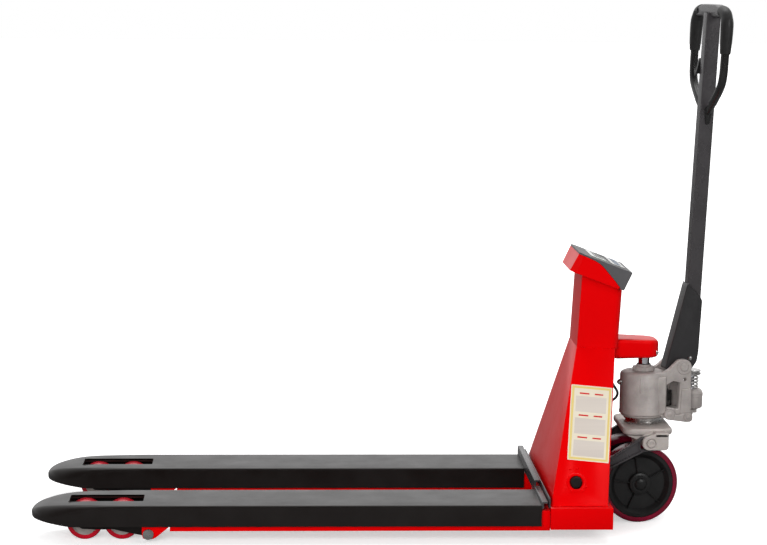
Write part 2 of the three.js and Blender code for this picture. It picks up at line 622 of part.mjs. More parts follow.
addPiece('thrust_yoke', thrustYoke(), FINISH.casting);
addPiece('torsion_shaft', torsionShaft(), FINISH.graphite);
for (const [name, side] of SIDES) {
  const pinY = outward(side, ROCKER.innerY - 9, ROCKER.outerY + 14.5);
  addPiece(`yoke_pin_${name}`, crossBar(YOKE.pinX, YOKE.pinZ, YOKE.pinRadius, ...pinY), FINISH.steel);
  const arm = rockerArm();
  if (side < 0) arm.translate(0, -ROCKER.innerY - ROCKER.outerY, 0);
  addPiece(`rocker_arm_${name}`, arm, FINISH.blackPaint);
}

function thrustBearing() {
  const { innerRadius, outerRadius } = BEARING;
  const [low, high] = [YOKE.topZ + GAP, PUMP.bottomZ - GAP];
  return lathe([
    [innerRadius, low], [outerRadius, low], [outerRadius, high], [innerRadius, high], [innerRadius, low],
  ], 20).rotateX(Math.PI / 2);
}

addPiece('thrust_bearing', thrustBearing(), FINISH.steel);

// ---- pump unit, in the steered frame ----

function pumpBody() {
  const { radius, bottomZ, topZ, cheekOuter, cheekInner } = PUMP;
  const barrel = lathe([
    [0, bottomZ], [radius - 5, bottomZ], [radius, bottomZ + 5], [radius, topZ - 8],
    [radius - 8, topZ], [0, topZ],
  ], 24).rotateX(Math.PI / 2);
  const cheekShape = outline([
    [20, 238], [100, 238, 6], [101, 354, 18], [86, 373, 14], [62, 369, 12], [34, 342, 8], [20, 342],
  ]);
  withHoles(cheekShape,
    outline([[38, 263, 4], [71, 258, 4], [74, 318, 4], [58, 322, 4], [38, 311, 4]]),
    roundHole(HANDLE_PIVOT.x, HANDLE_PIVOT.z, HANDLE_PIVOT.radius + GAP));
  const cheeks = [-1, 1].map((side) => sideProfile(cheekShape, ...outward(side, cheekInner, cheekOuter)));
  const rib = block(40, 78, -cheekInner - 1, cheekInner + 1, 240, 256);
  const flank = block(-12, 32, -cheekOuter - 4, cheekOuter + 4, 240, 334);
  const cylinderSeat = block(70, 112, -cheekInner - 1, cheekInner + 1, 240, 250);
  const bore = upright(0, 0, PUMP.bore, RAM.bottomZ - 8, topZ + 10);
  const ringWell = upright(PLUNGER.x, 0, PLUNGER.cylinderRadius + GAP, 230, 400);
  return cut(join(barrel, ...cheeks, rib, flank, cylinderSeat), bore, ringWell);
}

function glandNut() {
  const { radius, ringHeight, neckRadius, height } = GLAND;
  const bottom = PUMP.topZ + GAP;
  return lathe([
    [PUMP.bore, bottom], [radius, bottom], [radius, bottom + ringHeight - 2],
    [neckRadius, bottom + ringHeight], [neckRadius, bottom + height], [PUMP.bore, bottom + height],
    [PUMP.bore, bottom],
  ], 24).rotateX(Math.PI / 2);
}

function fillerPlug() {
  const [radius, length, height] = [6, 9, 316];
  const plug = new THREE.CylinderGeometry(radius, radius, length, 6).rotateZ(Math.PI / 2);
  return plug.translate(-PUMP.radius - GAP - length / 2, 0, height);
}

function plungerCylinder() {
  const { cylinderRadius, cylinderTop, bottomZ, radius } = PLUNGER;
  return lathe([
    [0, bottomZ], [cylinderRadius, bottomZ], [cylinderRadius, cylinderTop - 6],
    [cylinderRadius - 3, cylinderTop], [radius + GAP, cylinderTop], [radius + GAP, bottomZ + 6],
    [0, bottomZ + 6],
  ], 20);
}

function plunger() {
  return upright(0, 0, PLUNGER.radius, PLUNGER.bottomZ + 32, PLUNGER_CAP.bottomZ, 16);
}

function plungerCap() {
  const { radius, bottomZ, topZ } = PLUNGER_CAP;
  return upright(0, 0, radius, bottomZ + GAP, topZ, 20);
}

function springCoil() {
  const { bottomZ, topZ, radius, wire, turns } = SPRING;
  class Helix extends THREE.Curve {
    getPoint(t, target = new THREE.Vector3()) {
      const angle = t * turns * 2 * Math.PI;
      const z = THREE.MathUtils.lerp(bottomZ + wire, topZ - wire, t);
      return target.set((radius - wire) * Math.cos(angle), (radius - wire) * Math.sin(angle), z);
    }
  }
  return tubeAlong(new Helix(), wire, 5, 32);
}

function releaseLever() {
  const arm = outline([
    [34, 234, 10], [88, 226.5, 8], [104, 227, 6], [103, 246, 8], [88, 249, 6], [62, 244, 4],
    [56, 258, 10], [36, 257, 10],
  ]);
  return sideProfile(arm, -PUMP.cheekOuter - 9, -PUMP.cheekOuter - GAP);
}

function steeringPost() {
  const { radius, shoeHalfWidth, shoeTopZ } = POST;
  const [frontX, lowZ] = [WHEEL.axleX - shoeHalfWidth, WHEEL.radius - shoeHalfWidth];
  const stem = upright(0, 0, radius, lowZ, PUMP.bottomZ - GAP, 16);
  const shoe = sideProfile(outline([
    [frontX, lowZ, 12], [radius, lowZ, 12], [radius, shoeTopZ, 6], [-radius, shoeTopZ, 6],
    [frontX, WHEEL.radius + shoeHalfWidth, 12],
  ]), -shoeHalfWidth, shoeHalfWidth);
  const axleHole = crossBar(WHEEL.axleX, WHEEL.radius, WHEEL.axleRadius + GAP, -30, 30);
  return cut(join(stem, shoe), axleHole);
}

addPiece('pump_body', pumpBody(), FINISH.casting, steered);
addPiece('gland_nut', glandNut(), FINISH.casting, steered);
addPiece('filler_plug', fillerPlug(), FINISH.steel, steered);
const cylinder = addPiece('plunger_cylinder', plungerCylinder(), FINISH.casting, steered);
cylinder.position.x = PLUNGER.x;
cylinder.rotation.x = Math.PI / 2;
addPiece('plunger', plunger(), FINISH.chrome, steered).position.x = PLUNGER.x;
addPiece('plunger_cap', plungerCap(), FINISH.steel, steered).position.x = PLUNGER.x;
addPiece('plunger_spring', springCoil(), FINISH.steel, steered).position.x = PLUNGER.x;
addPiece('release_lever', releaseLever(), FINISH.casting, steered);
addPiece('pivot_pin', crossBar(HANDLE_PIVOT.x, HANDLE_PIVOT.z, HANDLE_PIVOT.radius,
  -PUMP.cheekOuter - 3, PUMP.cheekOuter + 3), FINISH.steel, steered);
addPiece('steering_post', steeringPost(), FINISH.casting, steered);
addPiece('wheel_axle', crossBar(WHEEL.axleX, WHEEL.radius, WHEEL.axleRadius,
  -WHEEL.outerFace + 4, WHEEL.outerFace - 4), FINISH.steel, steered);

// ---- steering wheels ----

function wheelTyre() {
  const half = WHEEL.width / 2;
  const inner = WHEEL.rimRadius + 2 * GAP;
  const shoulder = 5;
  return lathe([
    [inner, -half], [WHEEL.radius - shoulder, -half], [WHEEL.radius, -half + shoulder],
    [WHEEL.radius, half - shoulder], [WHEEL.radius - shoulder, half], [inner, half], [inner, -half],
  ], 28);
}

function wheelHub() {
  const { rimRadius, webRadius, bossRadius, dish } = WHEEL;
  const half = WHEEL.width / 2;
  const bore = WHEEL.axleRadius + GAP;
  const face = [[bore, half], [bossRadius, half], [bossRadius, half - dish],
    [webRadius, half - dish], [webRadius + 2, half], [rimRadius, half]];
  const backFace = face.map(([radius, along]) => [radius, -along]);
  return lathe([...backFace, ...face.reverse(), backFace[0]], 28);
}

for (const [name, side] of SIDES) {
  const middle = [WHEEL.axleX, side * (WHEEL.outerFace - WHEEL.width / 2), WHEEL.radius];
  addPiece(`wheel_tyre_${name}`, wheelTyre(), FINISH.tread, steered).position.set(...middle);
  addPiece(`wheel_hub_${name}`, wheelHub(), FINISH.blackPaint, steered).position.set(...middle);
}

// ---- handle, in the steered frame ----

// The point on the handle's centre line at a height.
function tubeX(z) {
  return THREE.MathUtils.mapLinear(z, TUBE.bottomZ, TUBE.topZ, TUBE.bottomX, TUBE.topX);
}

function handleBracket() {
  const { halfWidth, wall } = BRACKET;
  const side = outline([
    [45.5, 344, 4], [111, 345.5, 5], [122.5, 362, 4], [126.3, 385], [132.5, 504, 4], [126.5, 516, 2],
    [97, 546, 2], [94, 538],
  ]);
  const body = sideProfile(side, -halfWidth, halfWidth);
  const room = sideProfile(outline([
    [48, 330], [117, 330], [117, 366], [112, 372], [112, 400], [64.5, 400],
  ]), -halfWidth + wall, halfWidth - wall);
  const pinHole = crossBar(HANDLE_PIVOT.x, HANDLE_PIVOT.z, HANDLE_PIVOT.radius + 2 * GAP, -30, 30);
  const { x, z, pinRadius } = PRESS_ROLLER;
  const rollerHole = crossBar(x, z, pinRadius + 2 * GAP, -30, 30, 16);
  return cut(body, room, pinHole, rollerHole, handleTubeForm(GAP));
}

// The roller in the bracket that presses the plunger down, with its pin.
function pressureRoller() {
  const { x, z, radius, pinRadius } = PRESS_ROLLER;
  return join(crossBar(x, z, radius, -13.5, 13.5, 20), crossBar(x, z, pinRadius, -18.5, 18.5, 16));
}

function handleTubeForm(grow) {
  const halfDepth = TUBE.depth / 2 + grow;
  const bar = outline([
    [TUBE.bottomX - halfDepth, TUBE.bottomZ - grow], [TUBE.bottomX + halfDepth, TUBE.bottomZ - grow],
    [TUBE.topX + halfDepth, TUBE.topZ], [TUBE.topX - halfDepth, TUBE.topZ],
  ]);
  return sideProfile(bar, -TUBE.width / 2 - grow, TUBE.width / 2 + grow);
}

function handleTube() {
  const inner = TUBE.depth / 2 - TUBE.wall;
  const innerHalf = TUBE.width / 2 - TUBE.wall;
  const [lowZ, highZ] = [TUBE.bottomZ - 5, TUBE.topZ - 2 * TUBE.wall];
  const hollow = sideProfile(outline([
    [TUBE.bottomX - inner, lowZ], [TUBE.bottomX + inner, lowZ],
    [TUBE.topX + inner, highZ], [TUBE.topX - inner, highZ],
  ]), -innerHalf, innerHalf);
  return cut(handleTubeForm(0), hollow);
}

// The loop's centre line on one side, from the shaft out, up and over to the middle of the top.
function loopPoints(side) {
  const half = LOOP.halfWidth;
  const top = LOOP.topZ - LOOP.barRadius;
  return [
    [side * (TUBE.width / 2 + 6), LOOP.joinZ], [side * half * 0.5, LOOP.joinZ + 22],
    [side * half * 0.9, LOOP.bendZ], [side * half, LOOP.bendZ + 45], [side * half, 1120],
    [side * half * 0.86, top - 18], [side * half * 0.45, top - 3],
  ].map(([y, z]) => new THREE.Vector3(tubeX(z), y, z));
}

function handleLoop() {
  const arms = [-1, 1].map((side) => tubeAlong(new THREE.CatmullRomCurve3(loopPoints(side)),
    LOOP.barRadius, 8, 16));
  const arch = outline([
    [-88, 1148, 6], [-20, 1158, 6], [20, 1158, 6], [88, 1148, 6], [82, LOOP.topZ - 8, 20],
    [30, LOOP.topZ, 30], [-30, LOOP.topZ, 30], [-82, LOOP.topZ - 8, 20],
  ]);
  const x = tubeX(LOOP.topZ);
  const crosspiece = crossSection(arch, x - 11, x + 11, 4);
  const footFrom = TUBE.width / 2 + GAP;
  const footX = tubeX(LOOP.joinZ);
  const feet = [-1, 1].map((side) => block(footX - 12, footX + 12,
    ...outward(side, footFrom, footFrom + 8), LOOP.joinZ - 26, LOOP.joinZ + 10));
  return cut(join(crosspiece, ...arms, ...feet), handleTubeForm(GAP));
}

function grip(side) {
  const points = loopPoints(side);
  const centre = new THREE.CatmullRomCurve3(points);
  const along = Array.from({ length: 9 }, (_, i) => centre.getPointAt(0.57 + 0.22 * i / 8));
  const sleeve = tubeAlong(new THREE.CatmullRomCurve3(along), LOOP.gripRadius, 10, 5);
  return cut(sleeve, tubeAlong(centre, LOOP.barRadius + 2 * GAP, 8, 16));
}

// The trigger on the tube's left side, whose nose stands out past the tube's front face.
function controlTrigger() {
  const { topZ, peakZ, bottomZ, reach, depth, innerY, outerY } = TRIGGER;
  const faceX = (z) => tubeX(z) - TUBE.depth / 2;
  const wedge = outline([
    [faceX(topZ), topZ], [faceX(peakZ) - reach, peakZ, 3], [faceX(bottomZ), bottomZ],
    [faceX(bottomZ) + depth, bottomZ], [faceX(topZ) + depth, topZ],
  ]);
  return sideProfile(wedge, innerY, outerY);
}

addPiece('handle_bracket', handleBracket(), FINISH.graphite, steered);
addPiece('handle_tube', handleTube(), FINISH.graphite, steered);
addPiece('handle_loop', handleLoop(), FINISH.graphite, steered);
for (const [name, side] of SIDES) addPiece(`grip_${name}`, grip(side), FINISH.rubber, steered);
addPiece('control_trigger', controlTrigger(), FINISH.rubber, steered);
addPiece('pressure_roller', pressureRoller(), FINISH.steel, steered);

// ---- centre the jack on its footprint ----

const bounds = new THREE.Box3().setFromObject(jack, true);
jack.position.x = -(bounds.min.x + bounds.max.x) / 2;

export default jack;
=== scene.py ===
import json
import random
from math import atan2, cos, pi, radians, sin, sqrt, tan

import bmesh
import bpy
from mathutils import Matrix, Vector


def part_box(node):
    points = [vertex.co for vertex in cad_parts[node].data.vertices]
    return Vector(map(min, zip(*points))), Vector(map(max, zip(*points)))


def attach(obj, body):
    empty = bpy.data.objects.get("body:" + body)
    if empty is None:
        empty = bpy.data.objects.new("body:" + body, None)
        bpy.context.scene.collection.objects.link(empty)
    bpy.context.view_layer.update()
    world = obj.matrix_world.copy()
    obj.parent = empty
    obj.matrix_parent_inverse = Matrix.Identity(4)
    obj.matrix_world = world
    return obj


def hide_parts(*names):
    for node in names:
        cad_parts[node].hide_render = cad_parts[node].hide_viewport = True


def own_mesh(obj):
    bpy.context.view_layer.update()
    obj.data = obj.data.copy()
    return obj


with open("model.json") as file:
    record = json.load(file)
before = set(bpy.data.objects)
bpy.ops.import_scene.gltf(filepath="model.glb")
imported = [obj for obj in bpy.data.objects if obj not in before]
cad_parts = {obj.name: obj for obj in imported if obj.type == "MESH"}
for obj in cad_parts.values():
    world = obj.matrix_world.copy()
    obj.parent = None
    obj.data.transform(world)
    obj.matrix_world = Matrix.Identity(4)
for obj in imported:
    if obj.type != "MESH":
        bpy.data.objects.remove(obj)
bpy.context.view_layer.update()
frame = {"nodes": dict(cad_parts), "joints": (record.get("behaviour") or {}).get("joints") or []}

# ---- the jack's own frames: millimetres, with X = 0 and Y = 0 on the steering axis ----

MM = 0.001
JOINTS = {joint["name"]: joint for joint in frame["joints"]}
AXIS_X = JOINTS["steer"]["pos_m"][0]
TURN = JOINTS["handle_tilt"]["axis"]
FIXED = Matrix.Translation((AXIS_X, 0, 0)) @ Matrix.Scale(MM, 4)
STEERED = FIXED @ Matrix.Rotation(atan2(-TURN[0], TURN[1]), 4, "Z")
STEERED_BODIES = {"steer_unit", "handle", "plunger", "release_lever", "trigger", "pressure_roller"}
SIDES = (("left", 1), ("right", -1))


def joint_at(name):
    """A joint's place in the jack's own millimetres, on the middle plane."""
    x, _, z = JOINTS[name]["pos_m"]
    return Vector((x / MM - AXIS_X / MM, 0, z / MM))


def outward(side, near, far):
    """A stretch of Y between two distances from the middle, on the left (+1) or the right (-1)."""
    return (near, far) if side > 0 else (-far, -near)


class Span:
    """A CAD node's extent at rest, in the jack's own millimetres."""

    def __init__(self, node):
        low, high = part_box(node)
        self.low = Vector(((low.x - AXIS_X) / MM, low.y / MM, low.z / MM))
        self.high = Vector(((high.x - AXIS_X) / MM, high.y / MM, high.z / MM))
        self.centre = (self.low + self.high) / 2
        self.size = self.high - self.low


# ---- mesh helpers: every shape is a bmesh in millimetres ----

def arc_corner(corner, before, after, wanted, steps):
    """The points of a corner rounded with the wanted radius, as far as its two sides allow."""
    half = before.angle(after) / 2
    run = min(wanted / tan(half), 0.48 * before.length, 0.48 * after.length)
    if run < 1e-6:
        return [corner]
    bisector = (before.normalized() + after.normalized()).normalized()
    centre = corner + bisector * (run / cos(half))
    start = corner + before.normalized() * run - centre
    end = corner + after.normalized() * run - centre
    sweep = start.angle(end)
    shares = [step / steps for step in range(steps + 1)]
    return [centre + (start * sin((1 - t) * sweep) + end * sin(t * sweep)) / sin(sweep) for t in shares]


def outline(*points, steps=6):
    """A closed outline through (x, y) or (x, y, corner radius) points."""
    rounded = []
    for index, point in enumerate(points):
        corner = Vector(point[:2])
        before = Vector(points[index - 1][:2]) - corner
        after = Vector(points[(index + 1) % len(points)][:2]) - corner
        wanted = point[2] if len(point) > 2 else 0
        rounded += arc_corner(corner, before, after, wanted, steps)
    return rounded


def circle(x, y, radius, steps=36):
    turns = [2 * pi * step / steps for step in range(steps)]
    return [Vector((x + radius * cos(a), y + radius * sin(a))) for a in turns]


def rectangle(x0, x1, y0, y1, corner=0.0):
    return outline((x0, y0, corner), (x1, y0, corner), (x1, y1, corner), (x0, y1, corner))


PLANES = {
    "XY": Matrix.Identity(4),
    "XZ": Matrix(((1, 0, 0, 0), (0, 0, -1, 0), (0, 1, 0, 0), (0, 0, 0, 1))),
    "YZ": Matrix(((0, 0, 1, 0), (1, 0, 0, 0), (0, 1, 0, 0), (0, 0, 0, 1)))}


def plate(plane, low, high, outer, *holes, edge=1.0, edge_steps=2):
    """A flat plate drawn in a plane, from low to high across it, with rounded edges and any holes."""
    curve = bpy.data.curves.new("plate", "CURVE")
    curve.dimensions = "2D"
    curve.fill_mode = "BOTH"
    edge = min(edge, 0.49 * (high - low))
    curve.extrude = (high - low) / 2 - edge
    curve.bevel_depth = edge
    curve.bevel_resolution = edge_steps
    curve.offset = -edge
    for points in (outer, *holes):
        spline = curve.splines.new("POLY")
        spline.points.add(len(points) - 1)
        for target, (x, y) in zip(spline.points, points):
            target.co = (x, y, 0, 1)
        spline.use_cyclic_u = True
    carrier = bpy.data.objects.new("plate", curve)
    mesh = bpy.data.meshes.new_from_object(carrier)
    shape = bmesh.new()
    shape.from_mesh(mesh)
    bpy.data.objects.remove(carrier)
    bpy.data.curves.remove(curve)
    bpy.data.meshes.remove(mesh)
    bmesh.ops.remove_doubles(shape, verts=shape.verts, dist=1e-3)
    bmesh.ops.recalc_face_normals(shape, faces=shape.faces)
    middle = (low + high) / 2
    shift = {"XY": (0, 0, middle), "XZ": (0, middle, 0), "YZ": (middle, 0, 0)}[plane]
    shape.transform(Matrix.Translation(shift) @ PLANES[plane])
    return shape


def loft(rings, closed=True, caps=True):
    """A skin over rings of points, all with the same count."""
    shape = bmesh.new()
    rows = [[shape.verts.new(point) for point in ring] for ring in rings]
    for row, following in zip(rows, rows[1:]):
        for index in range(len(row) - (0 if closed else 1)):
            step = (index + 1) % len(row)
            shape.faces.new((row[index], row[step], following[step], following[index]))
    if caps:
        shape.faces.new(reversed(rows[0]))
        shape.faces.new(rows[-1])
    bmesh.ops.remove_doubles(shape, verts=shape.verts, dist=1e-3)
    bmesh.ops.recalc_face_normals(shape, faces=shape.faces)
    return shape


AROUND = {
    "Z": Matrix.Identity(4), "Y": Matrix.Rotation(-pi / 2, 4, "X"), "X": Matrix.Rotation(pi / 2, 4, "Y")}


def lathe(profile, axis="Z", at=(0, 0, 0), segments=56):
    """A body of revolution from (radius, height) points along an axis through a point."""
    turns = [2 * pi * step / segments for step in range(segments)]
    rings = [[(r * cos(a), r * sin(a), z) for a in turns] for r, z in profile]
    shape = loft(rings, caps=False)
    shape.transform(Matrix.Translation(at) @ AROUND[axis])
    return shape


def rod(radius, low, high, axis="Z", at=(0, 0, 0), edge=0.8, segments=40):
    """A round bar with chamfered ends."""
    profile = [
        (0, low), (radius - edge, low), (radius, low + edge), (radius, high - edge), (radius - edge, high),
        (0, high)]
    return lathe(profile, axis, at, segments)


def dome(radius, height, axis, at, steps=6, segments=32):
    """A rounded head that rises along an axis; a negative height turns it round."""
    quarter = [pi / 2 * step / steps for step in range(steps + 1)]
    profile = [(0, 0)] + [(radius * cos(a), height * sin(a)) for a in quarter]
    return lathe(profile, axis, at, segments)


def hexagon(across, low, high, axis, at):
    """A hexagon nut or bolt head."""
    return rod(across / sqrt(3), low, high, axis, at, 0.6, segments=6)


def hoop(profile, *place, **detail):
    """A body of revolution whose profile closes on its first point."""
    return lathe([*profile, profile[0]], *place, **detail)


def mirrored(profile):
    """A lathe profile followed by its mirror image."""
    return [*profile, *((r, -z) for r, z in reversed(profile))]


def smooth_path(points, steps=8):
    """Points along a curve that passes through all the given ones."""
    points = [Vector(point) for point in points]
    ends = [2 * points[0] - points[1], *points, 2 * points[-1] - points[-2]]
    path = []
    for before, start, end, after in zip(ends, ends[1:], ends[2:], ends[3:]):
        for step in range(steps):
            t = step / steps
            path.append(0.5 * (
                2 * start + (end - before) * t
                + (2 * before - 5 * start + 4 * end - after) * t ** 2
                + (3 * start - before - 3 * end + after) * t ** 3))
    return [*path, points[-1]]


def tube(path, radius, sides=16):
    """A round bar along a path. The radius is a number, or a function of the share of the path."""
    size = radius if callable(radius) else (lambda share: radius)
    rings = []
    across = None
    for index, point in enumerate(path):
        ahead = (path[min(index + 1, len(path) - 1)] - path[max(index - 1, 0)]).normalized()
        if across is None:
            across = ahead.orthogonal().normalized()
        across = (across - ahead * across.dot(ahead)).normalized()
        other = ahead.cross(across)
        reach = size(index / (len(path) - 1))
        turns = [2 * pi * side / sides for side in range(sides)]
        rings.append([point + reach * (across * cos(a) + other * sin(a)) for a in turns])
    return loft(rings)


def box(low, high, edge):
    """A block with rounded edges."""
    shape = bmesh.new()
    bmesh.ops.create_cube(shape, size=1)
    low, high = Vector(low), Vector(high)
    shape.transform(Matrix.Translation((low + high) / 2) @ Matrix.Diagonal((*(high - low), 1)))
    round_edges(shape, shape.edges[:], edge)
    return shape


def round_edges(shape, edges, size):
    bmesh.ops.bevel(
        shape, geom=edges, offset=size, segments=2, profile=0.5, affect="EDGES", clamp_overlap=True)


def together(*shapes):
    """Several shapes as one."""
    whole = bmesh.new()
    for shape in shapes:
        mesh = bpy.data.meshes.new("part")
        shape.to_mesh(mesh)
        shape.free()
        whole.from_mesh(mesh)
        bpy.data.meshes.remove(mesh)
    return whole


def shown(made):
    bpy.context.scene.collection.objects.link(made)
    return made


def stand_in(shape):
    """An object in the scene for a shape, so that a modifier can work on it."""
    mesh = bpy.data.meshes.new("stand-in")
    shape.to_mesh(mesh)
    shape.free()
    return shown(bpy.data.objects.new("stand-in", mesh))


def modified(made, *others):
    """The shape of a stand-in after its modifiers; it and the others are removed."""
    mesh = bpy.data.meshes.new_from_object(made.evaluated_get(bpy.context.evaluated_depsgraph_get()))
    shape = bmesh.new()
    shape.from_mesh(mesh)
    bpy.data.meshes.remove(mesh)
    for item in (made, *others):
        bpy.data.meshes.remove(item.data)
    return shape


def carve(shape, *cutters):
    """The shape with the cutters taken away."""
    made = stand_in(shape)
    tools = [stand_in(cutter) for cutter in cutters]
    for tool in tools:
        modifier = made.modifiers.new("cut", "BOOLEAN")
        modifier.operation = "DIFFERENCE"
        modifier.solver = "EXACT"
        modifier.object = tool
    return modified(made, *tools)


def soften(shape, edge):
    """Merges flat faces and rounds the sharp edges."""
    bmesh.ops.remove_doubles(shape, verts=shape.verts, dist=0.01)
    bmesh.ops.dissolve_limit(shape, angle_limit=radians(1.5), verts=shape.verts, edges=shape.edges)
    sharp = [e for e in shape.edges if e.is_manifold and e.calc_face_angle(0) > radians(25)]
    round_edges(shape, sharp, edge)
    return shape


def node_shape(node, edge):
    """A CAD node's solid in the fixed frame's millimetres, with rounded edges."""
    shape = bmesh.new()
    shape.from_mesh(frame["nodes"][node].data)
    shape.transform(FIXED.inverted())
    return soften(shape, edge)


def piece(name, shape, body, finish, stands_for=(), place=None, sharp=34):
    """Makes a shape, or a list of them, into a shown piece that rides on a body."""
    slot, material = finish
    if isinstance(shape, list):
        shape = together(*shape)
    shape.transform(place or (STEERED if body in STEERED_BODIES else FIXED))
    bmesh.ops.recalc_face_normals(shape, faces=shape.faces)
    mesh = bpy.data.meshes.new(name)
    shape.to_mesh(mesh)
    shape.free()
    mesh.polygons.foreach_set("use_smooth", [True] * len(mesh.polygons))
    mesh.set_sharp_from_angle(angle=radians(sharp))
    mesh.materials.append(material)
    made = shown(bpy.data.objects.new(name, mesh))
    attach(made, body)
    if stands_for:
        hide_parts(*stands_for)
    return made


# ---- materials ----

def feed(tree, node, inputs):
    """Sets a shader node's inputs, each to a value or to another node's output."""
    for name, source in inputs.items():
        if isinstance(source, bpy.types.NodeSocket):
            tree.links.new(source, node.inputs[name])
        else:
            node.inputs[name].default_value = source


def add_node(tree, kind, inputs=None, **settings):
    """Adds a shader node with the given settings and inputs."""
    node = tree.nodes.new("ShaderNode" + kind)
    for name, value in settings.items():
        setattr(node, name, value)
    feed(tree, node, inputs or {})
    return node


def surface(
    name, colour, other, rough, metallic=0.0, coat=0.0, blotch=9.0, grain=900.0, bump=0.1,
    bump_depth=0.0002, stretch=(1, 1, 1), specular=0.5, tint=(1, 1, 1), specks=0.0):
    """A material whose colour and roughness drift between two values, with a fine grain in relief."""
    material = bpy.data.materials.new(name)
    material.use_nodes = True
    tree = material.node_tree
    place = add_node(tree, "TexCoord").outputs["Object"]
    spot = add_node(tree, "Mapping", {"Vector": place, "Scale": stretch}).outputs["Vector"]
    drift = add_node(
        tree, "TexNoise", {"Vector": spot, "Scale": blotch, "Detail": 5, "Roughness": 0.6}).outputs["Fac"]
    fine = add_node(tree, "TexNoise", {"Vector": spot, "Scale": grain, "Detail": 3})
    ramp = add_node(tree, "ValToRGB", {"Fac": drift})
    for stop, position, paint in zip(ramp.color_ramp.elements, (0.35, 0.68), (colour, other)):
        stop.position = position
        stop.color = (*paint, 1)
    base = ramp.outputs["Color"]
    if specks > 0:
        base = add_node(
            tree, "Mix", {"Factor": specks, "A": base, "B": fine.outputs["Color"]}, data_type="RGBA",
            blend_type="OVERLAY").outputs["Result"]
    smoothness = add_node(
        tree, "MapRange",
        {"Value": drift, "From Min": 0.3, "From Max": 0.7, "To Min": rough[0], "To Max": rough[1]})
    relief = add_node(
        tree, "Bump", {"Height": fine.outputs["Fac"], "Strength": bump, "Distance": bump_depth})
    feed(
        tree, tree.nodes["Principled BSDF"],
        {
            "Base Color": base, "Roughness": smoothness.outputs["Result"],
            "Normal": relief.outputs["Normal"], "Metallic": metallic, "Coat Weight": coat,
            "Coat Roughness": 0.08, "Specular IOR Level": specular, "Specular Tint": (*tint, 1)})
    return material


def finish(slot, *look, **detail):
    """A library slot, and the material that shows it here."""
    return slot, surface(*look, **detail)


RED = finish(
    "red_paint", "red powder coat", (0.74, 0.0, 0.001), (0.68, 0.0, 0.001), (0.28, 0.38), blotch=6,
    grain=700, bump=0.12, bump_depth=0.0002, tint=(1, 0.1, 0.1))
BLACK = finish(
    "black_paint", "black powder coat", (0.0075, 0.0055, 0.005), (0.011, 0.009, 0.0085), (0.28, 0.38),
    blotch=14, grain=1100, bump=0.2, bump_depth=0.00018, specular=0.3)
GRAPHITE = finish(
    "graphite_paint", "graphite powder coat", (0.04, 0.037, 0.039), (0.048, 0.0445, 0.047), (0.24, 0.32),
    blotch=16, grain=1300, bump=0.35, bump_depth=0.00025)
BRACKET = finish(
    "graphite_paint", "dark powder coat", (0.017, 0.0162, 0.0172), (0.022, 0.0211, 0.0221), (0.36, 0.48),
    blotch=16, grain=1300, bump=0.35, bump_depth=0.00025)
LOOP_BLACK = finish(
    "graphite_paint", "gloss black loop paint", (0.009, 0.0085, 0.0085), (0.013, 0.0125, 0.0125),
    (0.22, 0.3), blotch=24, grain=1200, bump=0.15, bump_depth=0.00015)
CASTING = finish(
    "casting", "silver painted casting", (0.46, 0.42, 0.40), (0.36, 0.325, 0.31), (0.38, 0.56),
    metallic=0.35, blotch=30, grain=420, bump=0.55, bump_depth=0.0006, specks=0.12)
YOKE_CASTING = finish(
    "casting", "grey painted casting", (0.54, 0.49, 0.46), (0.42, 0.38, 0.355), (0.42, 0.6), metallic=0.3,
    blotch=26, grain=380, bump=0.6, bump_depth=0.0008, specks=0.15)
STEEL = finish(
    "steel", "zinc plated steel", (0.62, 0.61, 0.6), (0.5, 0.49, 0.48), (0.2, 0.34), metallic=1, blotch=40,
    grain=600, bump=0.15, stretch=(1, 6, 1))
DARK_STEEL = finish(
    "steel", "oiled steel", (0.12, 0.115, 0.11), (0.07, 0.066, 0.063), (0.3, 0.45), metallic=0.9, blotch=50,
    grain=700, bump=0.2)
CHROME = finish(
    "chrome", "chromed ram", (0.75, 0.75, 0.78), (0.68, 0.68, 0.72), (0.06, 0.12), metallic=1, blotch=60,
    grain=900, bump=0.04, stretch=(1, 1, 8))
RUBBER = finish(
    "rubber", "black rubber", (0.008, 0.0078, 0.0078), (0.014, 0.0135, 0.0135), (0.42, 0.6), blotch=40,
    grain=1500, bump=0.4, bump_depth=0.0003)
HUB = finish(
    "black_paint", "black hub casting", (0.005, 0.005, 0.005), (0.009, 0.0088, 0.0088), (0.34, 0.5),
    blotch=40, grain=500, bump=0.3, bump_depth=0.0003)
ROLLER_TYRE = finish(
    "red_polyurethane", "red polyurethane", (0.56, 0.004, 0.02), (0.42, 0.003, 0.014), (0.22, 0.36),
    blotch=50, grain=500, bump=0.08)
STEER_TYRE = finish(
    "dark_polyurethane", "dark red polyurethane", (0.19, 0.002, 0.022), (0.13, 0.002, 0.015), (0.2, 0.34),
    blotch=30, grain=500, bump=0.08)
BEZEL = finish(
    "grey_plastic", "grey moulding", (0.078, 0.076, 0.08), (0.09, 0.088, 0.092), (0.36, 0.5), blotch=30,
    grain=1400, bump=0.3, bump_depth=0.0002)
OVERLAY = finish(
    "pale_overlay", "pale keypad film", (0.62, 0.62, 0.61), (0.68, 0.68, 0.67), (0.25, 0.35), blotch=40,
    grain=1600, bump=0.1)
KEY_MARK = finish(
    "pale_overlay", "keypad tint", (0.12, 0.16, 0.22), (0.15, 0.19, 0.25), (0.3, 0.4), blotch=60,
    grain=1600, bump=0.1)
LENS = finish(
    "display_glass", "display lens", (0.2, 0.24, 0.19), (0.24, 0.28, 0.22), (0.05, 0.1), coat=1, blotch=30,
    grain=900, bump=0.02)
FILM = {"rough": (0.3, 0.42), "blotch": 20, "grain": 900, "bump": 0.05}
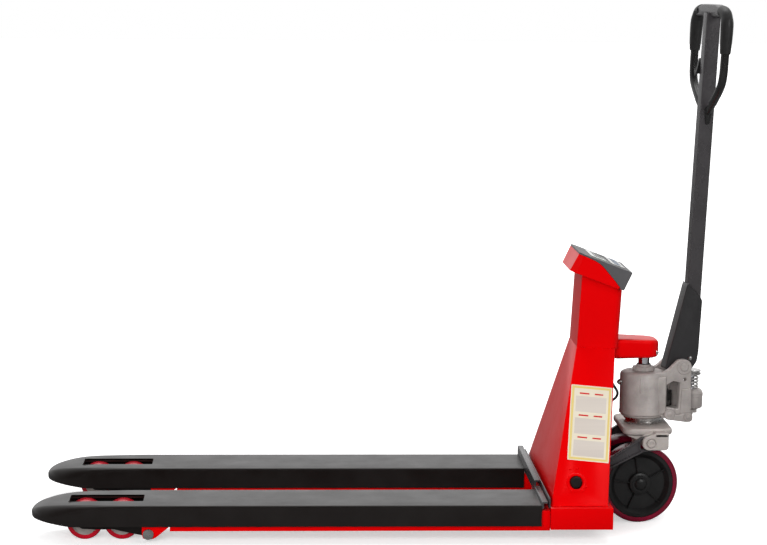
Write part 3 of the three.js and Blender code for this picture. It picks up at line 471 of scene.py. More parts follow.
LABEL = finish("pale_overlay", "cream label film", (0.74, 0.68, 0.55), (0.71, 0.64, 0.5), **FILM)
LABEL_EDGE = finish("pale_overlay", "yellow label border", (0.72, 0.56, 0.2), (0.68, 0.53, 0.18), **FILM)
LABEL_FIELD = finish(
    "pale_overlay", "pale grey label field", (0.62, 0.56, 0.5), (0.56, 0.5, 0.45), (0.32, 0.45), blotch=8,
    grain=160, bump=0.05, stretch=(0.15, 0.15, 6))
LABEL_BAR = finish("pale_overlay", "red label bar", (0.62, 0.02, 0.02), (0.54, 0.02, 0.02), **FILM)

# Black paint drawn in the lighter graphite colour: partly the parts' dark grey tone, partly painted light,
# a lit look put into the colour of the rocker arms and heel strip.
BLACK_LIGHTENED_AS_LIT = ("black_paint", GRAPHITE[1])
CAST_PIN = ("steel", CASTING[1])
YOKE_PIN_PAINT = ("steel", YOKE_CASTING[1])
DIGIT = ("display_glass", DARK_STEEL[1])


# ---- forks ----

COVER = Span("fork_cover_left")
COVER_HALF = COVER.size.y / 2
FORK_Y = COVER.centre.y
COVER_SKIN = 3.5
NOSE_LENGTH = 150
NOSE_TAPER = 112
NOSE_DROP = 27
CHIN_LENGTH, CHIN_RISE = 88, 11.5
LIP_LENGTH, LIP_RISE = 9, 6.5
SHOULDER_LENGTH, SHOULDER_RADIUS = 235, 26
EDGE_RADIUS = 5
SLOT = {"front": COVER.low.x + 85, "rear": COVER.low.x + 249, "half": 32.5}


def fork_ring(reach):
    """The cover's cross-section at a distance behind the tip, from one lower edge over to the other."""
    taper = min(1, reach / NOSE_TAPER)
    rise = min(1, reach / NOSE_LENGTH)
    lip = min(1, reach / LIP_LENGTH)
    chin = min(1, reach / CHIN_LENGTH)
    half = COVER_HALF * (1 - (1 - taper) ** 2.3) ** (1 / 2.2)
    top = COVER.high.z - NOSE_DROP * (1 - (1 - (1 - rise) ** 2.6) ** 0.5)
    low = COVER.low.z + CHIN_RISE * (1 - chin) + LIP_RISE * (1 - sqrt(1 - (1 - lip) ** 2))
    shoulder = EDGE_RADIUS + SHOULDER_RADIUS * (1 - min(1, reach / SHOULDER_LENGTH)) ** 1.3
    radius = min(half, shoulder, (top - low) * 0.8)
    side = [(half, low), (half, low + (top - radius - low) * 0.5)]
    arc = [pi / 2 * step / 10 for step in range(11)]
    corner = [(half - radius + radius * cos(a), top - radius + radius * sin(a)) for a in arc]
    half_ring = side + corner + [((half - radius) * 0.5, top), (0, top)]
    other_half = [(-y, z) for y, z in reversed(half_ring[:-1])]
    return [(COVER.low.x + reach, y, z) for y, z in half_ring + other_half]


def slot_outline(margin, corner):
    half = SLOT["half"] + margin
    return rectangle(SLOT["front"] - margin, SLOT["rear"] + margin, -half, half, corner)


def fork_skin():
    """A pressed cover with a rounded nose, open below, with the roller slot cut through its top."""
    steps = 26
    turns = [pi / 2 * (step + 0.15) / (steps + 0.15) for step in range(steps + 1)]
    nose = [NOSE_LENGTH * (1 - cos(turn)) for turn in turns]
    shaft = [170, 190, 212, SHOULDER_LENGTH, COVER.size.x * 0.5, COVER.size.x - 10, COVER.size.x]
    skin = loft([fork_ring(reach) for reach in nose + shaft], closed=False, caps=False)
    tip = [vert for vert in skin.verts if vert.co.x < COVER.low.x + nose[0] + 1e-4]
    tip.sort(key=lambda vert: atan2(vert.co.z - COVER.low.z - 18, vert.co.y))
    bmesh.ops.contextual_create(skin, geom=tip)
    bmesh.ops.recalc_face_normals(skin, faces=skin.faces)
    carrier = stand_in(skin)
    wall = carrier.modifiers.new("wall", "SOLIDIFY")
    wall.thickness = COVER_SKIN
    wall.offset = -1
    wall.use_even_offset = True
    slot = plate("XY", 60, 110, slot_outline(0, 4), edge=0.05)
    return carve(modified(carrier), slot)


def fork_rim():
    """The thin turned edge round the roller slot."""
    return plate("XY", 78, COVER.high.z - 0.2, slot_outline(1.6, 5), slot_outline(0, 4), edge=0.6)


def cover_screw(x, y):
    """A countersunk socket screw, a little under the cover's top face."""
    top = COVER.high.z + 0.1
    head = lathe(
        [(2.6, top - 3), (2.9, top - 0.3), (6.2, top - 0.3), (6.6, top - 0.9), (6.6, top - 3)],
        at=(x, y, 0), segments=24)
    socket = lathe([(0, top - 2.4), (2.6, top - 2.4), (2.6, top - 3)], at=(x, y, 0), segments=6)
    return together(head, socket)


def make_forks():
    for name, side in SIDES:
        y = side * FORK_Y
        place = FIXED @ Matrix.Translation((0, y, 0))
        cover = f"fork_cover_{name}"
        piece(f"fork_cover_skin_{name}", fork_skin(), "chassis", BLACK, [cover], place, sharp=28)
        piece(f"fork_slot_rim_{name}", fork_rim(), "chassis", BLACK, place=place)
        cells = [Span(f"load_cell_{name}_{where}") for where in ("front", "rear")]
        screws = [cover_screw(cell.centre.x + shift, side * 34) for cell in cells for shift in (-36, 36)]
        piece(f"cover_screws_{name}", screws, "chassis", DARK_STEEL, place=place)
        for where in ("front", "rear"):
            cell = f"load_cell_{name}_{where}"
            piece(f"{cell}_body", node_shape(cell, 0.4), "chassis", STEEL, [cell])
        channel = f"fork_frame_{name}"
        piece(f"{channel}_channel", node_shape(channel, 1), "chassis", RED, [channel])


# ---- heel strip, base and tower ----

TOWER = Span("tower_shell")
BASE = Span("base_frame")
HEEL = Span("heel_plate")


def make_heel():
    """The weigh covers' heel: an upright sheet with a lip, lower at the right fork, and a flange behind."""
    low, high = HEEL.low, HEEL.high
    step_y = -FORK_Y + COVER_HALF

    def sheet(from_y, to_y, top):
        wall = outline(
            (low.x, low.z, 0.6), (high.x - 1, low.z, 0.6), (high.x - 1, top - 4, 2),
            (high.x + 8, top - 4, 1), (high.x + 8, top, 1), (low.x, top, 2))
        return plate("XZ", from_y, to_y, wall, edge=0.7)

    strip = [sheet(step_y, high.y, high.z), sheet(low.y, step_y - 1, high.z - 13)]
    # The heel strip's black paint is drawn in the lighter graphite colour, partly as painted light.
    piece("heel_strip", strip, "chassis", BLACK_LIGHTENED_AS_LIT, ["heel_plate"])
    flange = box((high.x + 11, low.y + 4, BASE.high.z + 0.4), (high.x + 14, high.y - 14, high.z - 6), 0.8)
    piece("heel_flange", flange, "chassis", BLACK_LIGHTENED_AS_LIT)


def droplet(radius, stretch, place):
    """A flattened drop of weld metal."""
    drop = bmesh.new()
    bmesh.ops.create_icosphere(drop, subdivisions=2, radius=radius)
    drop.transform(place @ Matrix.Diagonal((*stretch, 1)))
    return drop


def weld_bead(start, end, radius, seed, blobs):
    """A run of overlapping weld droplets between two points."""
    draw = random.Random(seed)
    start, end = Vector(start), Vector(end)
    shapes = []
    for index in range(blobs):
        share = (index + draw.uniform(0.2, 0.8)) / blobs
        size = radius * draw.uniform(0.75, 1.2)
        stretch = (1.5, 0.7, 0.7) if abs(end.x - start.x) > abs(end.y - start.y) else (0.7, 1.5, 0.7)
        shapes.append(droplet(size, stretch, Matrix.Translation(start.lerp(end, share))))
    return together(*shapes)


def tower_side(z):
    """Half the tower's width at a height, outside its sheet."""
    share = (z - TOWER.low.z) / (TOWER.high.z - TOWER.low.z)
    return TOWER.high.y + (COLUMN.size.y / 2 - TOWER.high.y) * share


def tower_lean():
    """How far the tower's sides lean in from the upright."""
    return atan2(TOWER.high.y - COLUMN.size.y / 2, TOWER.high.z - TOWER.low.z)


def make_tower():
    piece("tower_sheet", node_shape("tower_shell", 2.2), "chassis", RED, ["tower_shell"], sharp=40)
    piece("base_block", node_shape("base_frame", 1.8), "chassis", RED, ["base_frame"], sharp=40)
    for name, side in SIDES:
        face = side * (tower_side(SHAFT.centre.z) + 0.2)
        flip = Matrix.Identity(4) if side > 0 else Matrix.Rotation(pi, 4, "Z")
        seat = Matrix.Translation((SHAFT.centre.x, face, SHAFT.centre.z))
        seat = seat @ Matrix.Rotation(side * tower_lean(), 4, "X") @ flip
        boss = hoop(
            [(15.6, -1), (15.6, 1.2), (17, 2.2), (20, 2.2), (22.4, 0.6), (22.6, -1)], "Y", segments=48)
        boss.transform(seat)
        marks = []
        for angle, spread in ((205, 23), (232, 23), (300, 23), (95, 33), (70, 33)):
            turn = radians(angle)
            spot = Vector((spread * cos(turn), 0.6, spread * sin(turn)))
            marks.append(droplet(2.4, (1.5, 0.6, 1), seat @ Matrix.Translation(spot)))
        piece(f"shaft_boss_{name}", [boss, *marks], "chassis", RED)
    beads = []
    rear_x = -124
    for side in (-1, 1):
        foot_y, foot_z = side * (TOWER.high.y + 1), TOWER.low.z + 0.6
        seam_y = side * (COLUMN.size.y / 2 + 0.4)
        beads += [
            weld_bead((TOWER.low.x + 6, foot_y, foot_z), (TOWER.low.x + 26, foot_y, foot_z), 1.9, 4, 3),
            weld_bead((rear_x, foot_y, foot_z), (rear_x + 12, foot_y, foot_z), 1.9, 5, 2),
            weld_bead((COLUMN.low.x + 8, seam_y, 407), (COLUMN.low.x + 20, seam_y, 406.6), 1.8, 6, 2),
            weld_bead((rear_x, seam_y, 405.2), (rear_x + 42, seam_y, 403.4), 1.8, 7, 4)]
    piece("weld_beads", beads, "chassis", RED)


# ---- column and head ----

COLUMN = Span("column")
SHELL = Span("head_shell")
HEAD_TILT = radians(20.5)
HEAD_LENGTH = 121.3
HEAD_DEPTH = 47
HEAD_HALF = SHELL.size.y / 2
BROW = 8
CORNER = 15
HEAD_RIDGE = Vector((Span("head_bezel").low.x, 0, Span("head_bezel").high.z))
HEAD = (FIXED @ Matrix.Translation(HEAD_RIDGE) @ Matrix.Rotation(HEAD_TILT, 4, "Y")
        @ Matrix.Translation((BROW, 0, 0)))
COLUMN_LEAN = radians(3.15)
COLUMN_DEPTH = 96


def make_column():
    """A box mast with crisp front edges and softly rounded rear ones, cut to the head's slope."""
    half = COLUMN.size.y / 2
    ring = outline(
        (0, -half, 2.5), (COLUMN_DEPTH, -half, 17), (COLUMN_DEPTH, half, 17), (0, half, 2.5), steps=8)
    front, foot = COLUMN.low.x, COLUMN.low.z + 0.2
    lean, slope = tan(COLUMN_LEAN), tan(HEAD_TILT)
    under = HEAD_RIDGE.z - (HEAD_DEPTH + 0.6) / cos(HEAD_TILT)
    low_ring, high_ring = [], []
    for x, y in ring:
        low_ring.append((front + x, y, foot))
        high_z = (under - slope * (front + x - lean * foot - HEAD_RIDGE.x)) / (1 + slope * lean)
        high_ring.append((front + x + lean * (high_z - foot), y, high_z))
    piece("column_tube", loft([low_ring, high_ring]), "chassis", RED, ["column"], sharp=20)


def head_side(upper):
    """The head's side profile, run along its slope, above or below the seam between its two mouldings."""
    shift = 0.25 if upper else -0.25
    seam = smooth_path([
        (-BROW, 0, -4), (4, 0, -4), (29, 0, -5.2), (46, 0, -8.5), (61, 0, -15.5), (76, 0, -24),
        (91, 0, -32.5), (106, 0, -42)], 4)
    curve = [Vector((point.x, point.z + shift)) for point in seam]
    if upper:
        return curve + outline(
            (109, -HEAD_DEPTH + 1.5, 1), (117.5, -HEAD_DEPTH + 1, 2), (HEAD_LENGTH, -0.5, 1.5), (-BROW, 0),
            steps=3)[:-1] + [Vector((-BROW, 0))]
    return curve + [
        Vector((106, -HEAD_DEPTH + 2)), Vector((103, -HEAD_DEPTH)), Vector((-BROW - 4.5, -HEAD_DEPTH))]


def head_corners():
    """Two prisms that take off the head's front corners."""
    cutters = []
    for side in (-1, 1):
        inner, outer = side * (HEAD_HALF - CORNER), side * (HEAD_HALF + 6)
        front = -BROW - 4.5
        corner = outline(
            (front - 12, outer), (front - 12, inner - side * 12), (front, inner),
            (front + CORNER, side * HEAD_HALF), (front + CORNER + 6, outer))
        cutters.append(plate("XY", -60, 20, corner, edge=0.01))
    return cutters


def make_head():
    hood = plate("XZ", -HEAD_HALF, HEAD_HALF, head_side(False), edge=1.2, edge_steps=3)
    shell = carve(hood, *head_corners())
    piece("head_hood", shell, "chassis", RED, ["head_shell"], HEAD, sharp=30)
    bezel = plate("XZ", -HEAD_HALF, HEAD_HALF, head_side(True), edge=0.9, edge_steps=3)
    well = plate("XY", -1.2, 12, rectangle(22, 66, -62, 62, 4), edge=0.05)
    cover = carve(bezel, *head_corners(), well)
    piece("head_cover", cover, "chassis", BEZEL, ["head_bezel"], HEAD, sharp=30)
    lens = plate("XY", -0.9, 1.2, rectangle(22.4, 65.6, -61.6, 61.6, 4), edge=0.6)
    piece("display_lens", lens, "chassis", LENS, ["display_window"], HEAD)
    film = plate("XY", 0.3, 1.5, rectangle(72, 106, -62, 62, 5), edge=0.5)
    piece("keypad_film", film, "chassis", OVERLAY, ["keypad"], HEAD)
    keys = []
    for y in (-46, -23, 0, 23, 46):
        keys.append(plate("XY", 1.4, 2.1, rectangle(81, 97, y - 9, y + 9, 3), edge=0.3))
    piece("keypad_keys", keys, "chassis", KEY_MARK, place=HEAD)
    digits = []
    for y in (-38, -19, 0, 19, 38):
        rooms = [rectangle(x0, x1, y - 3.5, y + 3.5, 0.5) for x0, x1 in ((35.5, 42.7), (45.2, 52.5))]
        digits.append(plate("XY", 1.15, 1.35, rectangle(33, 55, y - 6, y + 6, 1), *rooms, edge=0.05))
    piece("display_digits", digits, "chassis", DIGIT, place=HEAD)


# ---- piston arm and ram ----

ARM = Span("piston_arm")


def make_arm():
    half, droop = 40, 4.5
    plan = outline(
        (ARM.low.x, -half - 6, 2), (ARM.high.x, -half, 30), (ARM.high.x, half, 30),
        (ARM.low.x, half + 6, 2), steps=12)
    arm = plate("XY", ARM.low.z + 1, ARM.high.z - 1, plan, edge=9, edge_steps=5)
    slope = droop / ARM.size.x
    for vert in arm.verts:
        if vert.co.z > ARM.centre.z:
            vert.co.z -= slope * (vert.co.x - ARM.low.x)
    piece("arm_casting", arm, "chassis", RED, ["piston_arm"], sharp=40)
    at = (ARM.high.x - 8, -30, 388)
    screw = [hexagon(8, 0, 3.4, "X", at), rod(2.4, 2, 6.4, "X", at, 0.4, 16)]
    piece("arm_screw", screw, "chassis", STEEL)
    ram = Span("ram")
    piece("ram_rod", rod(13, ram.low.z, ram.high.z, "Z", (0, 0, 0)), "chassis", CHROME, ["ram"])


# ---- rocker, shaft and yoke ----

SHAFT = Span("torsion_shaft")
SHAFT.centre = joint_at("rocker_turn")
YOKE_PIN = Span("yoke_pin_right").centre
ROCKER = Span("rocker_arm_left")


def rocker_outline(i):
    """The arm's side, from the shaft to beyond the yoke pin, set in by i all round."""
    x, z = SHAFT.centre.x, SHAFT.centre.z
    px, pz = YOKE_PIN.x, YOKE_PIN.z
    return outline(
        (x - 24 + i, z - 20 + i, 18), (x + 20, z - 21 + i, 16), (-92, 133 + i, 40),
        (px - 14, pz - 21 + i, 12), (px + 17 - i, pz - 19 + i, 13), (px + 17 - i, pz + 15.5 - i, 9),
        (px - 4, pz + 14.3 - i), (-20, pz + 10.5 - i, 10), (-86, 162 - i, 40), (x + 20, z + 22 - i, 18),
        (x - 24 + i, z + 20 - i, 18))


def rocker_slot(grow):
    """The arm's eye, long enough for the yoke pin to slide forward and down in it as the jack lifts."""
    reach = 10.8 + grow
    x0, x1 = YOKE_PIN.x - 12 - reach, YOKE_PIN.x + reach
    z0, z1 = YOKE_PIN.z - 5.2 - reach, YOKE_PIN.z + reach
    return outline(
        (x0, z0, 6), (x1, z0, 9), (x1, z1, 6), (YOKE_PIN.x - 4, z1, 6), (x0, YOKE_PIN.z + 4.5 + grow, 6))


def make_rocker():
    for name, side in SIDES:
        arm = Span(f"rocker_arm_{name}")
        low, high = arm.low.y, arm.high.y
        web = (low, high - 6) if side > 0 else (low + 6, high)
        hole = circle(SHAFT.centre.x, SHAFT.centre.z, 13.4)
        eye = rocker_slot(0)
        shapes = [
            plate("XZ", *web, rocker_outline(0), hole, eye, edge=1),
            plate("XZ", low, high, rocker_outline(0), rocker_outline(5), edge=1),
            plate("XZ", low, high, rocker_slot(2.6), eye, edge=0.8),
            plate("XZ", low, high, circle(SHAFT.centre.x, SHAFT.centre.z, 22), hole, edge=0.8)]
        # The rocker's black paint is drawn in the lighter graphite colour, partly as a painted highlight.
        piece(f"rocker_channel_{name}", shapes, "rocker", BLACK_LIGHTENED_AS_LIT, [f"rocker_arm_{name}"])
    x, z = SHAFT.centre.x, SHAFT.centre.z
    shaft = rod(13, SHAFT.low.y, SHAFT.high.y, "Y", (x, 0, z), 2.5, 56)
    levers = []
    for _, side in SIDES:
        shape = outline(
            (ROD_PIN.x - 11, ROD_PIN.z - 9, 9), (ROD_PIN.x + 9, ROD_PIN.z - 9, 9), (x + 20, z + 10, 16),
            (x - 20, z + 14, 16))
        for start in (-17, 13):
            y = side * FORK_Y + start
            levers.append(plate("XZ", y, y + 4, shape, edge=0.8))
        levers.append(rod(6, side * FORK_Y - 19, side * FORK_Y + 19, "Y", (ROD_PIN.x, 0, ROD_PIN.z)))
    piece("rocker_shaft", [shaft, *levers], "rocker", BLACK, ["torsion_shaft"])


ROD_PIN = Vector((Span("push_rod_left").high.x - 12, 0, 60))
YOKE_TOP = 222


def make_yoke():
    plan = outline((-57, -100, 26), (57, -100, 26), (57, 100, 26), (-57, 100, 26), steps=10)
    deck = plate("XY", YOKE_TOP - 15, YOKE_TOP, plan, circle(0, 0, 26), edge=5, edge_steps=3)
    collar = hoop([(26.3, YOKE_TOP - 22), (40, YOKE_TOP - 22), (46, YOKE_TOP - 14), (26.3, YOKE_TOP - 14)])
    parts = [deck, collar]
    px, pz = YOKE_PIN.x, YOKE_PIN.z
    ear = outline(
        (px - 19.5, pz - 15.5, 15), (41, pz - 15.5, 9), (41, YOKE_TOP - 4, 6), (px + 12, YOKE_TOP - 4, 8),
        (px - 19.5, pz + 13, 14), steps=10)
    pin_hole = circle(px, pz, 10.4)
    bridge = rectangle(px + 8, 41, YOKE_TOP - 13, YOKE_TOP - 3.5, 3)
    rib = outline((-50, YOKE_TOP - 16), (50, YOKE_TOP - 16), (30, pz - 6, 8), (-8, pz - 6, 8))
    ears = ((ROCKER.low.y - 8, ROCKER.low.y - 1), (ROCKER.high.y + 1, ROCKER.high.y + 13))
    for _, side in SIDES:
        for ear_span in ears:
            parts.append(plate("XZ", *outward(side, *ear_span), ear, pin_hole, edge=2.4, edge_steps=3))
        parts.append(plate("XZ", *outward(side, 88, ears[1][1]), bridge, edge=2))
        parts.append(plate("XZ", *outward(side, 84, 92), rib, edge=2))
    piece("yoke_casting", parts, "thrust_yoke", YOKE_CASTING, ["thrust_yoke"], sharp=40)
    for name, side in SIDES:
        pin = Span(f"yoke_pin_{name}")
        bar = rod(10, pin.low.y, pin.high.y, "Y", (px, 0, pz), 1.2)
        end = pin.high.y if side > 0 else pin.low.y
        rim = hoop([(4, 0), (5, side * 0.9), (8, side * 0.9), (8.8, 0)], "Y", (px, end, pz))
        piece(f"yoke_pin_bar_{name}", [bar, rim], "thrust_yoke", YOKE_PIN_PAINT, [f"yoke_pin_{name}"])
    bearing = Span("thrust_bearing")
    low, high = bearing.low.z, bearing.high.z
    race = hoop([
        (26.5, low), (43, low), (44, low + 1), (44, low + 4.5), (41.5, low + 5), (41.5, high - 5),
        (44, high - 4.5), (44, high - 1), (43, high), (26.5, high)], segments=64)
    piece("bearing_races", race, "thrust_yoke", STEEL, ["thrust_bearing"])


# ---- load rollers, bogies and roller frames ----

ROLLER = Span("load_roller_left_front")
LINK_PIN = joint_at("bogie_level")
LUG_PIN = joint_at("roller_frame_swing")
FRONT_ROD_PIN = Vector((LUG_PIN.x + 20.6, 0, 49.3))


def make_rollers():
    radius, half = ROLLER.size.z / 2, ROLLER.size.y / 2
    for name, side in SIDES:
        y = side * FORK_Y
        for where in ("front", "rear"):
            node = f"load_roller_{name}_{where}"
            at = Span(node).centre
            tyre = hoop(
                mirrored(
                    [(30, -half), (radius - 4, -half), (radius - 1.2, -half + 1.2), (radius, -half + 4)]),
                "Y", at, 72)
            piece(f"{node}_tyre", tyre, f"roller_{name}_{where}", ROLLER_TYRE, [node])
            profile = [
                (10.4, -half + 3), (15, -half + 1), (17, -half + 3), (26, -half + 3.5), (29.8, -half + 1),
                (30, half - 1), (26, half - 3.5), (17, half - 3), (15, half - 1), (10.4, half - 3)]
            core = hoop(profile, "Y", at, 56)
            piece(f"{node}_core", core, f"roller_{name}_{where}", YOKE_CASTING)
        make_bogie(name, y)
        make_roller_frame(name, y)


def make_bogie(name, y):
    x0, x1 = (Span(f"load_roller_left_{where}").centre.x for where in ("front", "rear"))
    z, pin = ROLLER.centre.z, LINK_PIN
    link = outline(
        (x0 - 15, z - 14, 13), (pin.x, z - 16, 24), (x1 + 15, z - 14, 13), (x1 + 15, z + 14, 13),
        (pin.x, pin.z + 14, 18), (x0 - 15, z + 14, 13), steps=8)
    shapes = []
    for side in (-1, 1):
        low, high = outward(side, 37, 43)
        shapes.append(plate("XZ", y + low, y + high, link, circle(pin.x, pin.z, 7.3), edge=1))
    for x in (x0, x1):
        shapes.append(rod(10, y - 43.5, y + 43.5, "Y", (x, 0, z), 1))
    piece(f"bogie_links_{name}", shapes, "bogies", BLACK, [f"roller_bogie_{name}"])
    nuts = [dome(6.5, side * 1.6, "Y", (x, y + side * 43.4, z)) for x in (x0, x1) for side in (-1, 1)]
    piece(f"bogie_axle_ends_{name}", nuts, "bogies", STEEL)


def make_roller_frame(name, y):
    link, lug, rod_pin = LINK_PIN, LUG_PIN, FRONT_ROD_PIN
    arm = outline(
        (link.x - 14, link.z - 13, 12), (lug.x - 26, lug.z - 6, 24), (lug.x + 13, lug.z - 13, 12),
        (rod_pin.x + 9, rod_pin.z + 8, 8), (rod_pin.x - 14, rod_pin.z + 8, 8),
        (link.x + 20, link.z + 13, 14), (link.x - 14, link.z + 13, 12), steps=8)
    shapes = []
    for side in (-1, 1):
        low, high = outward(side, 45, 52)
        shapes.append(plate("XZ", y + low, y + high, arm, edge=1))
        low, high = outward(side, 36.5, 46)
        shapes.append(rod(7, y + low, y + high, "Y", (link.x, 0, link.z), 0.6))
    shapes.append(rod(9, y - 76, y + 76, "Y", (lug.x, 0, lug.z), 0.6))
    shapes.append(rod(6, y - 46, y + 46, "Y", (rod_pin.x, 0, rod_pin.z), 0.6))
    node = f"roller_frame_{name}"
    piece(f"roller_frame_arms_{name}", shapes, "roller_frames", BLACK, [node])
    heads = []
    for side in (-1, 1):
        head = [(0, 0), (11.4, 0), (12, side * 0.8), (12, side * 4), (11, side * 5), (0, side * 5)]
        heads.append(lathe(head, "Y", (lug.x, y + side * 74.3, lug.z)))
    piece(f"pivot_pin_heads_{name}", heads, "roller_frames", STEEL)
    rod_node = f"push_rod_{name}"
    piece(f"{rod_node}_bar", node_shape(rod_node, 1), "push_rods", RED, [rod_node])


# ---- pump unit ----

BARREL = {"radius": 55, "bottom": 236, "top": 342}
PIVOT = Vector((83, 0, 354))
PLUNGER_X = 115
CHEEK = (31, 46)


def make_pump():
    r, low, top = BARREL["radius"], BARREL["bottom"], BARREL["top"]
    barrel = hoop([
        (14, low), (r - 7, low), (r - 4, low + 3), (r - 4, low + 5), (r, low + 7.5), (r, low + 12),
        (r - 0.8, low + 14), (r - 0.8, top - 9), (r - 3, top - 4), (r - 8, top - 1), (r - 14, top),
        (14, top)], segments=96)
    cheek = outline(
        (8, 252, 10), (36, 236, 6), (100, 238, 6), (101, 340, 5), (101, 356, 14), (90, 373, 16),
        (70, 371, 14), (48, 350, 10), (36, 342.5, 14), (8, 342, 2), steps=8)
    window = outline((37.5, 263, 3), (70.5, 257, 3), (74, 318, 3), (58, 322, 5), (38, 311, 5))
    parts = [barrel]
    for side in (-1, 1):
        pivot_hole = circle(PIVOT.x, PIVOT.z, 10.2)
        stop_hole = circle(85.6, 325, 3.6, 20)
        holes = (window, pivot_hole, stop_hole)
        parts.append(plate("XZ", *outward(side, *CHEEK), cheek, *holes, edge=2.2, edge_steps=3))
        boss = [(10.2, -side), (10.2, side * 1.6), (16, side * 1.6), (18, 0), (18, -side)]
        parts.append(hoop(boss, "Y", (PIVOT.x, side * CHEEK[1], PIVOT.z)))
        flank = outline(
            (-24, 292, 10), (-24, 333, 4), (40, 333, 2), (40, 246, 2), (22, 246, 4), (22, 288, 10), steps=8)
        parts.append(plate("XZ", *outward(side, CHEEK[0], 50.5), flank, edge=2.6, edge_steps=3))
        land = outline((74, 238, 3), (101, 238, 3), (101, 304, 3), (78, 304, 3), steps=4)
        parts.append(plate("XZ", *outward(side, 40, 48.5), land, edge=1.4))
    parts.append(box((40, -32, 240), (78, 32, 256), 3))
    bore = rod(28.3, 230, 420, "Z", (PLUNGER_X, 0, 0), 0, 56)
    parts.append(carve(box((66, -32, 238), (112, 32, 250), 3), bore))
    piece("pump_casting", parts, "steer_unit", CASTING, ["pump_body"], sharp=38)
    spindle, seat = (52, -12, 0), (66, 10, 0)
    valve = [
        rod(5.5, 251, 300, "Z", spindle, 1), hexagon(17, 262, 272, "Z", spindle),
        rod(3.2, 300, 330, "Z", spindle, 0.6), rod(7, 256, 286, "Z", seat, 1.2),
        hexagon(13, 286, 292, "Z", seat)]
    piece("release_valve", valve, "steer_unit", DARK_STEEL)


def make_gland():
    """The notched nut round the ram, with its wiper, and the filler plug on the barrel."""
    gland = Span("gland_nut").low.z
    nut = hoop([
        (13.4, gland), (24.6, gland), (25.5, gland + 1), (25.5, gland + 8), (24.4, gland + 9.6),
        (18, gland + 9.6), (17, gland + 10.6), (17, gland + 13.6), (16, gland + 14.6),
        (13.4, gland + 14.6)], segments=64)
    notches = []
    for index in range(6):
        notch = box((22.6, -3.4, gland - 2), (30, 3.4, gland + 12), 0.8)
        notch.transform(Matrix.Rotation(radians(60 * index + 18), 4, "Z"))
        notches.append(notch)
    piece("gland_nut_body", carve(nut, *notches), "steer_unit", CASTING, ["gland_nut"])
    wiper = hoop(
        [(13.2, gland + 14), (16, gland + 14), (15.6, gland + 16), (13.2, gland + 16.2)], segments=48)
    piece("ram_wiper", wiper, "steer_unit", RUBBER)

    at = (-BARREL["radius"] + 0.5, 0, 316)
    cap = dome(3.4, -2.4, "X", (at[0] - 7, *at[1:]))
    plug = [rod(7.5, -3, 0, "X", at), hexagon(10, -7, -3, "X", at), cap]
    piece("filler_plug_head", plug, "steer_unit", STEEL, ["filler_plug"])


def make_plunger():
    """The plunger in its housing, with its cap and the spring between them."""
    cylinder = Span("plunger_cylinder")
    low, high = cylinder.low.z, cylinder.high.z
    base = low + 11
    bore = lathe([
        (0, base), (24, base), (27, base + 2), (28, base + 5), (28, high - 8), (26, high - 3), (22, high),
        (9.6, high), (9.6, base + 4), (0, base + 4)], at=(PLUNGER_X, 0, 0), segments=64)
    ledge = hoop(
        [(27, low + 38), (28.8, low + 39), (28.8, high - 9), (27, high - 8)], at=(PLUNGER_X, 0, 0),
        segments=64)
    foot = plate("XZ", -14, 14, rectangle(104, 127.6, low, low + 12, 3), edge=2)
    piece("plunger_housing", [bore, ledge, foot], "steer_unit", CASTING, ["plunger_cylinder"])

    turns, wire, radius = 3.5, 2.1, 16.9
    spring_low, spring_high = 297 + wire, 328.5 - wire
    coil, steps = [], 112
    for step in range(steps + 1):
        share = step / steps
        turn = 2 * pi * turns * share
        height = spring_low + (spring_high - spring_low) * share
        coil.append(Vector((PLUNGER_X + radius * cos(turn), radius * sin(turn), height)))
    spring = piece("return_spring", tube(coil, wire, 10), "plunger", STEEL, ["plunger_spring"])
    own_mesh(spring)

    piece("plunger_rod", rod(9, 272, 329, "Z", (PLUNGER_X, 0, 0)), "plunger", CHROME, ["plunger"])
    cap = lathe([
        (0, 329.3), (21.5, 329.3), (23, 330.6), (23, 334), (20.5, 335), (20.5, 337), (23, 338), (23, 339.6),
        (21, 341), (0, 341)], at=(PLUNGER_X, 0, 0), segments=56)
    piece("spring_cap", cap, "plunger", STEEL, ["plunger_cap"])


def make_release_lever():
    face = -CHEEK[1] - 0.4
    arm = outline(
        (34, 235, 12), (88, 226.5, 8), (104, 227, 8), (104, 246, 9), (88, 249, 8), (64, 243, 5),
        (58, 258, 12), (36, 258, 12), steps=8)
    shapes = [plate("XZ", face - 7, face, arm, edge=1.8, edge_steps=3)]
    for x, z, radius in ((47.8, 246, 12.4), (91.5, 238.2, 9.6)):
        boss = [(0, -3.6), (radius - 1.6, -3.6), (radius, -2), (radius, 2), (0, 2)]
        shapes.append(lathe(boss, "Y", (x, face - 6, z), 40))
        shapes.append(dome(radius * 0.5, -1.4, "Y", (x, face - 9.4, z)))
    piece("release_arm", shapes, "release_lever", CASTING, ["release_lever"])


def make_pivots():
    reach = CHEEK[1] + 3
    bar = rod(10, -reach, reach, "Y", PIVOT, 1.4)
    faces = []
    for side in (-1, 1):
        face = [(3.4, 0), (3.4, side * 0.7), (7.2, side * 0.7), (7.8, 0)]
        faces.append(hoop(face, "Y", (PIVOT.x, side * reach, PIVOT.z)))
    piece("handle_pivot_pin", [bar, *faces], "steer_unit", CAST_PIN, ["pivot_pin"])
    post = Span("steering_post")
    stem = rod(24, 140, post.high.z, "Z", (0, 0, 0), 2)
    side = outline(
        (WHEEL.x - 24, WHEEL.z - 22, 16), (24, WHEEL.z - 22, 14), (24, 150, 6), (-24, 150, 6),
        (WHEEL.x - 24, WHEEL.z + 22, 16), steps=8)
    shoe = plate("XZ", -22, 22, side, edge=3, edge_steps=3)
    piece("steering_stem", [stem, shoe], "steer_unit", YOKE_CASTING, ["steering_post"])


# ---- steering wheels ----

WHEEL = Vector((-26, 52, 90))
WHEEL_RADIUS, WHEEL_HALF, RIM = 90, 25, 78


